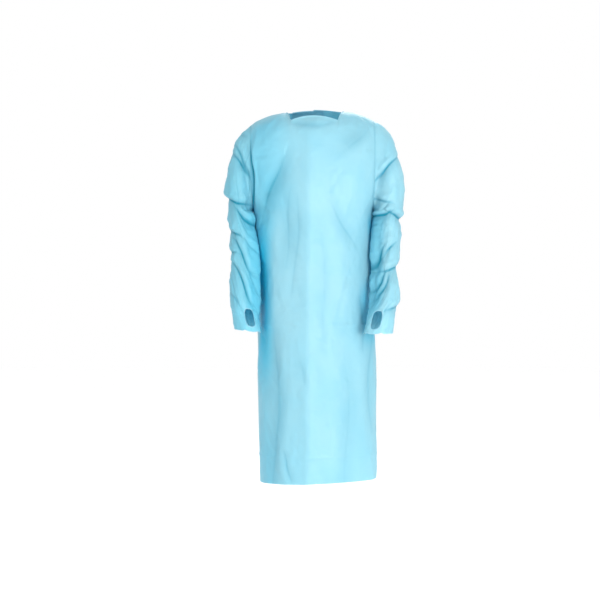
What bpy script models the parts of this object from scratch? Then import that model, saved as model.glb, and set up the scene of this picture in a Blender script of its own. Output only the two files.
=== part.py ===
# A plastic film protective gown, filled out as it is worn: a front panel, two
# back panels that lap at the centre back, two set-in sleeves with a thumb hole
# at each cuff, a neck tab and a waist tie knotted behind.
# The wearer's right is at -X, the front faces -Y and +Z is up. The origin is
# midway between the shoulders, where the gown hangs on its wearer.

import math
from collections import namedtuple

import bmesh
import bpy
from mathutils import Vector

# Driving sizes in metres

WALL = 0.0016
SEAM_GAP = 0.0004
RIGHT = -1
LEFT = 1

SHOULDER_TIP_X = {RIGHT: 0.195, LEFT: 0.191}
SHOULDER_DROP = {RIGHT: 0.038, LEFT: 0.028}
NECK_X = {RIGHT: 0.084, LEFT: 0.098}
NECK_Z = {RIGHT: -0.001, LEFT: 0.002}
NECK_CORNER_X = {RIGHT: 0.069, LEFT: 0.075}
NECK_CORNER_Z = -0.022
NECK_FRONT_ARCH = 0.013
NECK_FRONT_RISE = 0.012
NECK_BACK_RISE = 0.032
NECK_BACK_ARCH = 0.012
UNDERARM_Z = -0.310
UNDERARM_X = 0.187
ARMHOLE_BULGE = 0.004
FRONT_ROUND = 0.115
BACK_ROUND = 0.100
ROOF = 0.12
HEM_Z = -1.158
HEM_TILT = 0.030
LAP_REACH = 0.050
LAP_SINK = WALL + 0.0006

# The body's level sections, from the neck to the hem: where its sides, its
# centre front crease, its front, its side seams and its back lie, and how
# square the front and back curves are.

BodyRow = namedtuple(
    "BodyRow", "z right_x crease_x left_x front_y seam_y back_y front_power back_power"
)
BODY = (
    BodyRow(0.040, -0.216, -0.015, 0.210, -0.116, 0.010, 0.112, 2.7, 2.6),
    BodyRow(-0.100, -0.221, -0.015, 0.214, -0.124, 0.010, 0.128, 2.7, 2.6),
    BodyRow(-0.200, -0.215, -0.016, 0.211, -0.138, 0.010, 0.138, 2.7, 2.6),
    BodyRow(-0.265, -0.201, -0.016, 0.200, -0.141, 0.011, 0.139, 2.7, 2.6),
    BodyRow(-0.310, -0.187, -0.016, 0.187, -0.140, 0.012, 0.138, 2.6, 2.6),
    BodyRow(-0.430, -0.181, -0.017, 0.185, -0.133, 0.045, 0.124, 2.5, 2.5),
    BodyRow(-0.580, -0.178, -0.018, 0.188, -0.130, 0.056, 0.144, 2.5, 2.5),
    BodyRow(-0.750, -0.174, -0.019, 0.199, -0.131, 0.056, 0.157, 2.6, 2.5),
    BodyRow(-0.950, -0.173, -0.020, 0.201, -0.131, 0.054, 0.160, 2.6, 2.5),
    BodyRow(-1.200, -0.166, -0.021, 0.202, -0.127, 0.050, 0.158, 2.6, 2.5),
)

# Each sleeve's sections below the armhole: its outer and inner points seen from
# the front, measured from the centre line, and its middle and half depth.

SleeveRow = namedtuple("SleeveRow", "outer_x outer_z inner_x inner_z middle_y half_depth")
SLEEVE = {
    RIGHT: (
        SleeveRow(0.2100, -0.053, 0.1905, -0.318, 0.008, 0.071),
        SleeveRow(0.2366, -0.080, 0.1915, -0.326, 0.004, 0.074),
        SleeveRow(0.2567, -0.120, 0.1915, -0.334, 0.000, 0.075),
        SleeveRow(0.2690, -0.185, 0.1910, -0.344, -0.006, 0.074),
        SleeveRow(0.2770, -0.248, 0.1900, -0.362, -0.012, 0.072),
        SleeveRow(0.2680, -0.305, 0.1870, -0.388, -0.018, 0.070),
        SleeveRow(0.2640, -0.370, 0.1800, -0.424, -0.023, 0.068),
        SleeveRow(0.2640, -0.425, 0.1760, -0.456, -0.030, 0.066),
        SleeveRow(0.2615, -0.500, 0.1780, -0.514, -0.042, 0.062),
        SleeveRow(0.2600, -0.580, 0.1780, -0.585, -0.057, 0.057),
        SleeveRow(0.2530, -0.632, 0.1700, -0.638, -0.069, 0.053),
        SleeveRow(0.2450, -0.678, 0.1625, -0.688, -0.078, 0.050),
    ),
    LEFT: (
        SleeveRow(0.2120, -0.037, 0.1905, -0.318, 0.008, 0.071),
        SleeveRow(0.2432, -0.070, 0.1915, -0.326, 0.004, 0.074),
        SleeveRow(0.2652, -0.114, 0.1915, -0.334, 0.000, 0.075),
        SleeveRow(0.2800, -0.182, 0.1915, -0.344, -0.006, 0.074),
        SleeveRow(0.2870, -0.248, 0.1915, -0.362, -0.012, 0.072),
        SleeveRow(0.2800, -0.308, 0.1910, -0.390, -0.018, 0.070),
        SleeveRow(0.2770, -0.376, 0.1905, -0.428, -0.023, 0.068),
        SleeveRow(0.2720, -0.430, 0.1910, -0.458, -0.032, 0.066),
        SleeveRow(0.2650, -0.500, 0.1905, -0.516, -0.050, 0.062),
        SleeveRow(0.2700, -0.572, 0.1870, -0.580, -0.073, 0.058),
        SleeveRow(0.2560, -0.628, 0.1720, -0.634, -0.092, 0.054),
        SleeveRow(0.2470, -0.690, 0.1550, -0.692, -0.106, 0.050),
    ),
}
BODY_CLEARANCE = 0.0035

# Folds, each along a line seen from the front (or from behind): its two ends,
# its depth (a ridge where negative) and its reach above and below the line.

Fold = namedtuple("Fold", "x1 z1 x2 z2 depth above below")
FRONT_FOLDS = (
    Fold(-0.176, -0.050, -0.186, -0.170, -0.005, 0.012, 0.012),
    Fold(-0.095, -0.150, -0.160, -0.320, 0.009, 0.016, 0.040),
    Fold(0.170, -0.060, 0.095, -0.130, 0.006, 0.045, 0.016),
    Fold(0.060, -0.300, 0.130, -0.420, 0.004, 0.022, 0.022),
    Fold(-0.116, -0.690, -0.120, -1.200, 0.006, 0.022, 0.022),
    Fold(0.180, -0.560, 0.186, -1.000, 0.004, 0.016, 0.016),
    Fold(-0.070, -0.240, -0.085, -0.480, 0.004, 0.022, 0.022),
    Fold(0.100, -0.760, 0.108, -1.200, 0.003, 0.026, 0.026),
)
BACK_FOLDS = (
    Fold(-0.120, -0.160, -0.050, -0.400, 0.008, 0.030, 0.018),
    Fold(0.125, -0.150, 0.060, -0.400, 0.008, 0.018, 0.030),
    Fold(-0.060, -0.470, -0.105, -0.820, 0.008, 0.022, 0.022),
    Fold(0.050, -0.470, 0.115, -0.850, 0.008, 0.022, 0.022),
    Fold(-0.135, -0.480, -0.140, -1.200, 0.007, 0.024, 0.024),
    Fold(0.145, -0.520, 0.150, -1.200, 0.007, 0.024, 0.024),
    Fold(-0.020, -0.620, -0.040, -1.200, 0.006, 0.026, 0.026),
    Fold(0.070, -0.800, 0.072, -1.200, 0.006, 0.022, 0.022),
)
SLEEVE_FRONT_FOLDS = {
    RIGHT: (
        Fold(-0.240, -0.096, -0.204, -0.168, 0.007, 0.012, 0.014),
        Fold(-0.255, -0.130, -0.198, -0.203, 0.009, 0.014, 0.016),
        Fold(-0.292, -0.280, -0.186, -0.292, 0.013, 0.022, 0.014),
        Fold(-0.240, -0.304, -0.186, -0.362, 0.011, 0.016, 0.014),
        Fold(-0.285, -0.364, -0.224, -0.390, 0.011, 0.018, 0.014),
        Fold(-0.285, -0.436, -0.240, -0.440, 0.006, 0.014, 0.012),
        Fold(-0.246, -0.404, -0.190, -0.505, 0.011, 0.016, 0.014),
        Fold(-0.252, -0.468, -0.184, -0.605, 0.011, 0.017, 0.014),
    ),
    LEFT: (
        Fold(0.266, -0.137, 0.196, -0.214, 0.009, 0.014, 0.016),
        Fold(0.186, -0.275, 0.243, -0.283, 0.006, 0.014, 0.014),
        Fold(0.186, -0.328, 0.242, -0.313, 0.011, 0.016, 0.012),
        Fold(0.226, -0.337, 0.298, -0.348, 0.012, 0.018, 0.016),
        Fold(0.256, -0.410, 0.222, -0.444, 0.007, 0.014, 0.012),
        Fold(0.216, -0.428, 0.188, -0.500, 0.010, 0.014, 0.014),
        Fold(0.290, -0.484, 0.206, -0.499, 0.009, 0.022, 0.020),
        Fold(0.221, -0.500, 0.188, -0.568, 0.009, 0.014, 0.012),
        Fold(0.240, -0.510, 0.190, -0.590, 0.008, 0.012, 0.012),
        Fold(0.282, -0.604, 0.225, -0.616, 0.007, 0.018, 0.016),
    ),
}
SLEEVE_BACK_FOLDS = {
    RIGHT: (
        Fold(-0.246, -0.110, -0.200, -0.205, 0.009, 0.016, 0.016),
        Fold(-0.290, -0.276, -0.200, -0.250, 0.011, 0.020, 0.016),
        Fold(-0.290, -0.362, -0.196, -0.330, 0.011, 0.018, 0.016),
        Fold(-0.270, -0.438, -0.190, -0.410, 0.010, 0.018, 0.016),
        Fold(-0.255, -0.470, -0.186, -0.560, 0.010, 0.016, 0.016),
    ),
    LEFT: (
        Fold(0.256, -0.104, 0.200, -0.205, 0.009, 0.016, 0.016),
        Fold(0.296, -0.346, 0.200, -0.300, 0.011, 0.018, 0.018),
        Fold(0.270, -0.400, 0.196, -0.380, 0.008, 0.016, 0.016),
        Fold(0.285, -0.482, 0.192, -0.440, 0.011, 0.018, 0.018),
        Fold(0.250, -0.540, 0.190, -0.600, 0.009, 0.016, 0.016),
    ),
}

# The waist tie, which narrows and lifts where it is gathered into its knot, its
# two free ends, and the tab at the nape

TIE_Z = -0.430
TIE_WIDTH = 0.022
TIE_WALL = 0.0012
TIE_LIFT = 0.0024
TIE_KNOT_LIFT = 0.0030
TIE_SAG = 0.006
TIE_GATHER = 0.35
TIE_START_DEG = 84.0
KNOT_WIDTH = 0.026
KNOT_HEIGHT = 0.024
KNOT_DEPTH = 0.012
KNOT_PINCH = 0.18
KNOT_GAP = 0.0003
TAIL_LENGTH = {RIGHT: 0.190, LEFT: 0.165}
TAIL_SPREAD_DEG = {RIGHT: 16.0, LEFT: 12.0}
TAIL_START_X = 0.0005
TAIL_LIFT = TIE_LIFT + 0.0035
TAIL_GATHER = 0.5
TAIL_CURL = 0.35
TAB_OVER_X = 0.018
TAB_PAST_X = 0.088
TAB_TOP_Z = -0.004
TAB_HEIGHT = 0.034
TAB_WALL = 0.0010
TAB_LIFT = 0.0008
SLOPE_STEP = 0.003

# Grid sizes, as numbers of cells

NECK_CELLS = 3
NECKLINE_CELLS = 2
NAPE_CELLS = 2
LAP_CELLS = 3
SHOULDER_CELLS = 8
ROLL_ROWS = 6
ARMHOLE_ROWS = 12
LOWER_ROWS = 20
UNDERARM_CROWDING = 0.8
SLEEVE_CELLS = 2 * ARMHOLE_ROWS
SLEEVE_RING_STEP = 0.020
SLEEVE_BLEND_ROWS = 2.6
HOLE_CELLS = 3
HOLE_ROWS = 3
HOLE_START = 6
HOLE_FROM_CUFF = 1
HOLE_ROUNDING = 0.55
TIE_CELLS = 18
TAIL_ROWS = 8
KNOT_SEGMENTS = 16
KNOT_RINGS = 10
TAB_ROWS = 4
TAB_CELLS = 6

FILM_COLOUR = (0.36, 0.74, 0.88, 1.0)
FILM_ROUGHNESS = 0.38
SHARP_DEG = 40.0


def ramp(value, low, high):
    """A soft step from 0 at low to 1 at high."""
    share = min(1.0, max(0.0, (value - low) / (high - low)))
    return share * share * (3.0 - 2.0 * share)


def smooth_between(rows, at):
    """A curve through the rows of a table, read at a place counted in rows."""
    index = min(len(rows) - 2, max(0, int(at)))
    share = at - index
    before = rows[max(0, index - 1)]
    first = rows[index]
    second = rows[index + 1]
    after = rows[min(len(rows) - 1, index + 2)]
    values = []
    for p, a, b, q in zip(before, first, second, after):
        into = (b - p) / 2.0
        out_of = (q - a) / 2.0
        values.append(
            a * (1 + 2 * share) * (1 - share) ** 2
            + b * share**2 * (3 - 2 * share)
            + into * share * (1 - share) ** 2
            - out_of * share**2 * (1 - share)
        )
    return type(first)(*values)


def body_section(z):
    """The body's section at height z."""
    index = 0
    while index < len(BODY) - 2 and z < BODY[index + 1].z:
        index += 1
    upper = BODY[index].z
    share = (upper - z) / (upper - BODY[index + 1].z)
    return smooth_between(BODY, index + min(1.0, max(0.0, share)))


def shoulder_line(x):
    """Height of the shoulder seam above a point of the body, the neck included."""
    side = RIGHT if x < 0 else LEFT
    share = max(0.0, (abs(x) - NECK_X[side]) / (SHOULDER_TIP_X[side] - NECK_X[side]))
    return NECK_Z[side] - SHOULDER_DROP[side] * min(share, 1.0) ** 2


def neck_bump(x):
    """1 over the middle of the neck, falling to 0 at the shoulder's neck end."""
    side = RIGHT if x < 0 else LEFT
    return max(0.0, 1.0 - (x / NECK_X[side]) ** 2)


def front_roof(x):
    return shoulder_line(x) + NECK_FRONT_RISE * neck_bump(x)


def back_roof(x):
    return shoulder_line(x) + NECK_BACK_RISE * neck_bump(x)


def front_edge(x):
    """Height of the front's top edge: the shoulder seam, then the neckline.

    The neckline's sides roll forward and down over the shoulder's round to its
    two corners, and its middle arches up between them.
    """
    side = RIGHT if x < 0 else LEFT
    corner, neck = NECK_CORNER_X[side], NECK_X[side]
    if abs(x) < corner:
        return NECK_CORNER_Z + NECK_FRONT_ARCH * (1.0 - (x / corner) ** 2)
    share = max(0.0, (neck - abs(x)) / (neck - corner))
    corner_drop = front_roof(side * corner) - NECK_CORNER_Z
    turn = share * math.acos(1.0 - corner_drop / FRONT_ROUND)
    return front_roof(x) - FRONT_ROUND * (1.0 - math.cos(turn))


def back_edge(x):
    """Height of the back's top edge: the shoulder seam, then the nape."""
    return shoulder_line(x) + NECK_BACK_ARCH * neck_bump(x)


def side_edge(section, side):
    return section.left_x if side == LEFT else section.right_x


def angle_of(section, side, x, power):
    """Angle round the section, from its centre line, where it stands at x."""
    share = (x - section.crease_x) / (side_edge(section, side) - section.crease_x)
    return math.asin(min(1.0, max(0.0, share)) ** (power / 2.0))


def armhole_x(side, z):
    """Where the armhole's edge stands at height z."""
    tip_z = shoulder_line(side * SHOULDER_TIP_X[side])
    share = min(1.0, max(0.0, (tip_z - z) / (tip_z - UNDERARM_Z)))
    straight = SHOULDER_TIP_X[side] + (UNDERARM_X - SHOULDER_TIP_X[side]) * share
    return side * (straight + ARMHOLE_BULGE * math.sin(math.pi * share))


def side_angle(side, z, front):
    """Angle where the panel ends: at the armhole's edge, then at the side seam."""
    if z <= UNDERARM_Z + 1e-6:
        return math.pi / 2.0
    section = body_section(z)
    power = section.front_power if front else section.back_power
    return angle_of(section, side, armhole_x(side, z), power)


Column = namedtuple("Column", "share top roof")


def panel_columns(side, front):
    """The panel's columns on one side, from its centre line to its side seam.

    Each has its share of the way round to the side, its top and the height of
    the roof line over it.
    """
    section = body_section(0.0)
    power = section.front_power if front else section.back_power
    roof_of, edge_of = (front_roof, front_edge) if front else (back_roof, back_edge)
    tip = angle_of(section, side, side * SHOULDER_TIP_X[side], power)
    neck = angle_of(section, side, side * NECK_X[side], power) / tip
    if front:
        middle = angle_of(section, side, side * NECK_CORNER_X[side], power) / tip
        stops = [(0.0, middle, NECK_CELLS), (middle, neck, NECKLINE_CELLS)]
    else:
        middle = angle_of(section, side, section.crease_x + side * LAP_REACH, power) / tip
        stops = [(0.0, middle, LAP_CELLS), (middle, neck, NAPE_CELLS)]
    stops.append((neck, 1.0, SHOULDER_CELLS))
    shares = [0.0]
    for start, end, cells in stops:
        shares += [start + (end - start) * (cell + 1) / cells for cell in range(cells)]
    columns = []
    for share in shares:
        across = math.sin(share * tip) ** (2.0 / power)
        x = section.crease_x + across * (side_edge(section, side) - section.crease_x)
        columns.append(Column(share, edge_of(x), roof_of(x)))
    return columns


def section_point(side, angle, z, roof, front):
    """A point of the body's outer surface, at an angle from the centre line."""
    section = body_section(z)
    power = section.front_power if front else section.back_power
    across = max(0.0, math.sin(angle)) ** (2.0 / power)
    along = max(0.0, math.cos(angle)) ** (2.0 / power)
    x = section.crease_x + across * (side_edge(section, side) - section.crease_x)
    drop = min(1.0, max(0.0, (roof - z) / (FRONT_ROUND if front else BACK_ROUND)))
    swell = math.sqrt(max(0.0, 1.0 - (1.0 - drop) ** 2))
    if front:
        along *= 1.0 - ROOF * across
        return Vector((x, section.seam_y + (section.front_y - section.seam_y) * along * swell, z))
    return Vector((x, section.seam_y + (section.back_y - section.seam_y) * along * swell, z))


def body_reach(side, y, z):
    """How far from the centre line the body's side stands at a depth y."""
    section = body_section(z)
    front = y < section.seam_y
    power = section.front_power if front else section.back_power
    face_y = section.front_y if front else section.back_y
    share = min(1.0, (y - section.seam_y) / (face_y - section.seam_y))
    across = (1.0 - share**power) ** (1.0 / power)
    edge = side_edge(section, side)
    return abs(section.crease_x + across * (edge - section.crease_x))


def hem_height(x):
    return HEM_Z + HEM_TILT * x


def column_points(side, column, front):
    """A column's points from the panel's top edge down to its hem."""
    round_height = FRONT_ROUND if front else BACK_ROUND
    rolled = min(1.0, max(0.0, (column.roof - column.top) / round_height))
    first_turn = math.acos(1.0 - rolled)
    heights = []
    for row in range(ROLL_ROWS + 1):
        turn = first_turn + (math.pi / 2 - first_turn) * row / ROLL_ROWS
        heights.append(column.roof - round_height * (1.0 - math.cos(turn)))
    foot = heights[-1]
    for row in range(1, ARMHOLE_ROWS - ROLL_ROWS + 1):
        share = row / (ARMHOLE_ROWS - ROLL_ROWS)
        heights.append(foot + (UNDERARM_Z - foot) * share**UNDERARM_CROWDING)
    angle = column.share * math.pi / 2.0
    hem = hem_height(section_point(side, angle, HEM_Z, column.roof, front).x)
    for row in range(1, LOWER_ROWS + 1):
        heights.append(UNDERARM_Z + (hem - UNDERARM_Z) * row / LOWER_ROWS)
    points = []
    for z in heights:
        angle = column.share * side_angle(side, z, front)
        points.append(section_point(side, angle, z, column.roof, front))
    return points


def fold_offset(folds, point):
    """How far the folds move a point of the surface, outwards where positive."""
    total = 0.0
    for fold in folds:
        run_x, run_z = fold.x2 - fold.x1, fold.z2 - fold.z1
        length = math.hypot(run_x, run_z)
        from_x, from_z = point.x - fold.x1, point.z - fold.z1
        along = (from_x * run_x + from_z * run_z) / length**2
        off_line = (run_x * from_z - run_z * from_x) / length
        reach = fold.above if (off_line > 0) == (run_x > 0) else fold.below
        past_end = max(0.0, abs(along - 0.5) - 0.5) * length / reach
        total -= fold.depth * math.exp(-((off_line / reach) ** 2) - past_end**2)
    return total


def film_material(name):
    """The clear blue film, as a material of the piece's own."""
    material = bpy.data.materials.new(name + "_film")
    material.use_nodes = True
    shader = material.node_tree.nodes["Principled BSDF"]
    shader.inputs["Base Color"].default_value = FILM_COLOUR
    shader.inputs["Roughness"].default_value = FILM_ROUGHNESS
    shader.inputs["Metallic"].default_value = 0.0
    material.diffuse_color = FILM_COLOUR
    return material


def wall_from_grid(name, grid, thickness, closed=False, offset=None, keep=None, hole=()):
    """A closed wall whose outer skin is the grid, moved out by its folds.

    offset gives each point's move along the skin's normal, keep puts a point
    back on its side of a seam or clear of the body, and hole holds the cells
    that are cut through.
    """
    skin = bmesh.new()
    rows, columns = len(grid), len(grid[0])
    outer = [[skin.verts.new(point) for point in row] for row in grid]
    around = columns if closed else columns - 1
    for row in range(rows - 1):
        for column in range(around):
            if (row, column) in hole:
                continue
            beside = (column + 1) % columns
            corners = (
                outer[row][column],
                outer[row + 1][column],
                outer[row + 1][beside],
                outer[row][beside],
            )
            skin.faces.new(corners[:3])
            skin.faces.new((corners[0], *corners[2:]))
    skin.normal_update()
    if offset:
        moves = [
            (vertex, vertex.normal * offset(vertex.co, row, column))
            for row, line in enumerate(outer)
            for column, vertex in enumerate(line)
        ]
        for vertex, move in moves:
            vertex.co += move
    if keep:
        for row, line in enumerate(outer):
            for column, vertex in enumerate(line):
                vertex.co = keep(vertex.co, vertex.co, row, column)
    skin.normal_update()
    used = [vertex for vertex in skin.verts if vertex.link_faces]
    places = {v: (r, c) for r, line in enumerate(outer) for c, v in enumerate(line)}
    rim = [edge for edge in skin.edges if edge.is_boundary]
    rim_ends = [
        (edge.verts[0], edge.verts[1], edge.link_loops[0].vert == edge.verts[0])
        for edge in rim
    ]
    faces = list(skin.faces)
    inner = {}
    for vertex in used:
        row, column = places[vertex]
        under = vertex.co - vertex.normal * thickness
        if keep:
            under = keep(under, vertex.co, row, column)
        inner[vertex] = under
    inner = {vertex: skin.verts.new(point) for vertex, point in inner.items()}
    for face in faces:
        skin.faces.new([inner[v] for v in reversed(face.verts)])
    for first, second, forward in rim_ends:
        if forward:
            skin.faces.new((second, first, inner[first], inner[second]))
        else:
            skin.faces.new((first, second, inner[second], inner[first]))
    for vertex in [v for v in skin.verts if not v.link_faces]:
        skin.verts.remove(vertex)
    mesh = bpy.data.meshes.new(name)
    skin.to_mesh(mesh)
    skin.free()
    mesh.materials.append(film_material(name))
    mesh.shade_smooth()
    mesh.set_sharp_from_angle(angle=math.radians(SHARP_DEG))
    piece = bpy.data.objects.new(name, mesh)
    bpy.context.scene.collection.objects.link(piece)
    return piece


def as_rows(columns):
    """Turns a list of columns into a list of rows."""
    return [list(row) for row in zip(*columns)]


def make_front():
    """The front panel, from side seam to side seam."""
    right = panel_columns(RIGHT, True)
    left = panel_columns(LEFT, True)
    columns = [column_points(RIGHT, column, True) for column in reversed(right[1:])]
    columns += [column_points(LEFT, column, True) for column in left]
    last = len(columns) - 1

    def offset(point, row, column):
        from_side = min(column, last - column)
        fade = min(1.0, row / 3.0) * min(1.0, from_side / 2.0)
        return fade * fold_offset(FRONT_FOLDS, point)

    def keep(point, outer, row, column):
        limit = body_section(point.z).seam_y - SEAM_GAP / 2.0
        on_seam = column in (0, last) and (row == 0 or row >= ARMHOLE_ROWS)
        y = limit if on_seam else min(point.y, limit)
        return Vector((point.x, y, point.z))

    return wall_from_grid("front", as_rows(columns), WALL, offset=offset, keep=keep)


def make_back(side, name, under):
    """One back panel, from its side seam past the centre to its free edge."""
    lapped = panel_columns(-side, False)[LAP_CELLS:0:-1]
    columns = [column_points(-side, column, False) for column in lapped]
    columns += [column_points(side, column, False) for column in panel_columns(side, False)]
    if side == LEFT:
        columns.reverse()
    last = len(columns) - 1
    seam = 0 if side == LEFT else last

    def offset(point, row, column):
        from_side = abs(column - seam)
        fade = min(1.0, row / 3.0) * min(1.0, from_side / 2.0)
        move = fade * fold_offset(BACK_FOLDS, point)
        if under:
            past_lap = (last - from_side) - 2 * LAP_CELLS
            move -= LAP_SINK * (1.0 - ramp(past_lap, 0.5, 2.0))
        return move

    def keep(point, outer, row, column):
        limit = body_section(point.z).seam_y + SEAM_GAP / 2.0
        on_seam = column == seam and (row == 0 or row >= ARMHOLE_ROWS)
        y = limit if on_seam else max(point.y, limit)
        return Vector((point.x, y, point.z))

    return wall_from_grid(name, as_rows(columns), WALL, offset=offset, keep=keep)


def armhole_loop(side):
    """The armhole's edge as the sleeve's first ring: tip, front, underarm, back."""
    edges = []
    for front in (True, False):
        points = column_points(side, panel_columns(side, front)[-1], front)
        edges.append(points[: ARMHOLE_ROWS + 1])
    return edges[0] + edges[1][-2:0:-1]


def sleeve_rings(side):
    """The sleeve's rings, from the armhole to the cuff."""
    loop = armhole_loop(side)
    half_turn = SLEEVE_CELLS // 2
    tip, under = loop[0], loop[half_turn]
    middle_y = (loop[half_turn // 2].y + loop[-half_turn // 2].y) / 2.0
    half_depth = (loop[-half_turn // 2].y - loop[half_turn // 2].y) / 2.0
    first = SleeveRow(abs(tip.x), tip.z, abs(under.x), under.z, middle_y, half_depth)
    table = (first, *SLEEVE[side])
    places = [0.0]
    for index, (a, b) in enumerate(zip(table, table[1:])):
        length = math.hypot(a.outer_x - b.outer_x, a.outer_z - b.outer_z)
        steps = max(1, round(length / SLEEVE_RING_STEP))
        places += [index + (step + 1) / steps for step in range(steps)]
    rings = []
    for place in places:
        row = smooth_between(table, place)
        away = ramp(place, 0.0, SLEEVE_BLEND_ROWS)
        ring = []
        for cell in range(SLEEVE_CELLS):
            turn = 2.0 * math.pi * cell / SLEEVE_CELLS
            share = (1.0 + math.cos(turn)) / 2.0
            x = row.inner_x + (row.outer_x - row.inner_x) * share
            z = row.inner_z + (row.outer_z - row.inner_z) * share
            y = row.middle_y - row.half_depth * math.sin(turn)
            plain_x = first.inner_x + (first.outer_x - first.inner_x) * share
            plain_z = first.inner_z + (first.outer_z - first.inner_z) * share
            x += (abs(loop[cell].x) - plain_x) * (1.0 - away)
            z += (loop[cell].z - plain_z) * (1.0 - away)
            y = y * away + loop[cell].y * (1.0 - away)
            ring.append(Vector((side * (x + SEAM_GAP), y, z)))
        rings.append(ring)
    return rings


def open_thumb_hole(rings, start_cell):
    """Bends the grid lines round the thumb hole, and returns the cells cut."""
    last = len(rings) - 1 - HOLE_FROM_CUFF
    first = last - HOLE_ROWS
    mid_row = (first + last) / 2.0
    mid_cell = start_cell + HOLE_CELLS / 2.0
    moved = {}
    for row in range(first, last + 1):
        for cell in range(start_cell, start_cell + HOLE_CELLS + 1):
            down = (row - mid_row) / (HOLE_ROWS / 2.0)
            across = (cell - mid_cell) / (HOLE_CELLS / 2.0)
            radius = math.hypot(down, across)
            square = max(abs(down), abs(across))
            if not math.isclose(square, 1.0):
                continue
            shrink = (square / radius) ** HOLE_ROUNDING
            new_row = mid_row + down * shrink * HOLE_ROWS / 2.0
            new_cell = mid_cell + across * shrink * HOLE_CELLS / 2.0
            moved[row, cell] = grid_point(rings, new_row, new_cell)
    for (row, cell), point in moved.items():
        rings[row][cell] = point
    return {
        (row, cell)
        for row in range(first, last)
        for cell in range(start_cell, start_cell + HOLE_CELLS)
    }


def grid_point(rings, row, cell):
    """A point between the grid's own points."""
    low_row, low_cell = int(row), int(cell)
    row_share, cell_share = row - low_row, cell - low_cell
    next_row = min(low_row + 1, len(rings) - 1)
    near = rings[low_row][low_cell].lerp(rings[low_row][low_cell + 1], cell_share)
    far = rings[next_row][low_cell].lerp(rings[next_row][low_cell + 1], cell_share)
    return near.lerp(far, row_share)


def make_sleeve(side, name):
    """A set-in sleeve, an open tube from the armhole to the cuff."""
    rings = sleeve_rings(side)
    hole = open_thumb_hole(rings, HOLE_START)
    last = len(rings) - 1

    def offset(point, row, column):
        turn = 2.0 * math.pi * column / SLEEVE_CELLS
        frontness = math.sin(turn)
        fade = min(1.0, row / 2.0) * min(1.0, (last - row) / 3.0)
        move = ramp(frontness, -0.5, 0.25) * fold_offset(SLEEVE_FRONT_FOLDS[side], point)
        move += ramp(-frontness, -0.5, 0.25) * fold_offset(SLEEVE_BACK_FOLDS[side], point)
        return fade * move

    def keep(point, outer, row, column):
        point = point.copy()
        if row == 0:
            point.x = outer.x
        elif point.z < UNDERARM_Z:
            inside = (point - outer).length
            reach = body_reach(side, point.y, point.z) + BODY_CLEARANCE + WALL - inside
            point.x = side * max(abs(point.x), reach)
        return point

    rows = [list(ring) for ring in rings]
    if side == LEFT:
        rows = [[row[0], *reversed(row[1:])] for row in rows]
        hole = {(row, SLEEVE_CELLS - 1 - cell) for row, cell in hole}

    def mirrored(function):
        def with_column(*arguments):
            *before, column = arguments
            return function(*before, (SLEEVE_CELLS - column) % SLEEVE_CELLS)

        return function if side == RIGHT else with_column

    return wall_from_grid(
        name, rows, WALL, closed=True,
        offset=mirrored(offset), keep=mirrored(keep), hole=hole,
    )


def bare_back(x, z):
    """The back's outer surface at x and z, before its folds."""
    section = body_section(z)
    side = RIGHT if x < section.crease_x else LEFT
    angle = angle_of(section, side, x, section.back_power)
    return section_point(side, angle, z, back_roof(x), False)


def on_back(x, z, lift):
    """A point over the back panels, folds included, lifted off them."""
    here = bare_back(x, z)
    across = bare_back(x + SLOPE_STEP, z) - bare_back(x - SLOPE_STEP, z)
    down = bare_back(x, z - SLOPE_STEP) - bare_back(x, z + SLOPE_STEP)
    normal = down.cross(across).normalized()
    if normal.y < 0:
        normal.negate()
    return here + normal * (fold_offset(BACK_FOLDS, here) + lift)


def make_tie(side, name):
    """One half of the waist tie, from the side of the back to the knot."""
    section = body_section(TIE_Z)
    edge = abs(side_edge(section, side) - section.crease_x)
    limit = KNOT_WIDTH / 2.0 + KNOT_GAP
    columns = []
    for cell in range(TIE_CELLS + 1):
        share = cell / TIE_CELLS
        angle = math.radians(TIE_START_DEG) * (1.0 - share)
        reach = limit + (edge - limit) * math.sin(angle) ** (2.0 / section.back_power)
        x = section.crease_x + side * reach
        narrow = 1.0 - TIE_GATHER * ramp(share, 0.8, 1.0)
        lift = TIE_LIFT + TIE_WALL + TIE_KNOT_LIFT * ramp(share, 0.75, 1.0)
        half = TIE_WIDTH / 2.0 * narrow
        sag = TIE_SAG * math.sin(math.pi * share)
        columns.append([on_back(x, TIE_Z - sag + half * up, lift) for up in (1, 0, -1)])
    if side == RIGHT:
        columns.reverse()

    def keep(point, outer, row, column):
        reach = max(limit, side * (point.x - section.crease_x))
        return Vector((section.crease_x + side * reach, point.y, point.z))

    return wall_from_grid(name, as_rows(columns), TIE_WALL, keep=keep)


def make_knot():
    """The waist tie's knot: a small rounded lump of gathered film."""
    section = body_section(TIE_Z)
    bpy.ops.mesh.primitive_uv_sphere_add(
        segments=KNOT_SEGMENTS, ring_count=KNOT_RINGS, radius=0.5
    )
    knot = bpy.context.object
    knot.name = "waist_knot"
    knot.data.name = "waist_knot"
    outer_y = on_back(section.crease_x, TIE_Z, TIE_LIFT).y
    for vertex in knot.data.vertices:
        x, y, z = vertex.co
        swell = 1.0 + KNOT_PINCH * (1.0 + math.cos(4.0 * math.atan2(z, x)))
        vertex.co = Vector(
            (
                section.crease_x + max(-0.5, min(0.5, x * swell)) * KNOT_WIDTH,
                outer_y + KNOT_DEPTH / 2.0 + y * KNOT_DEPTH,
                TIE_Z + max(-0.5, min(0.5, z * swell)) * KNOT_HEIGHT,
            )
        )
    knot.data.materials.append(film_material("waist_knot"))
    knot.data.shade_smooth()
    return knot


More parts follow.
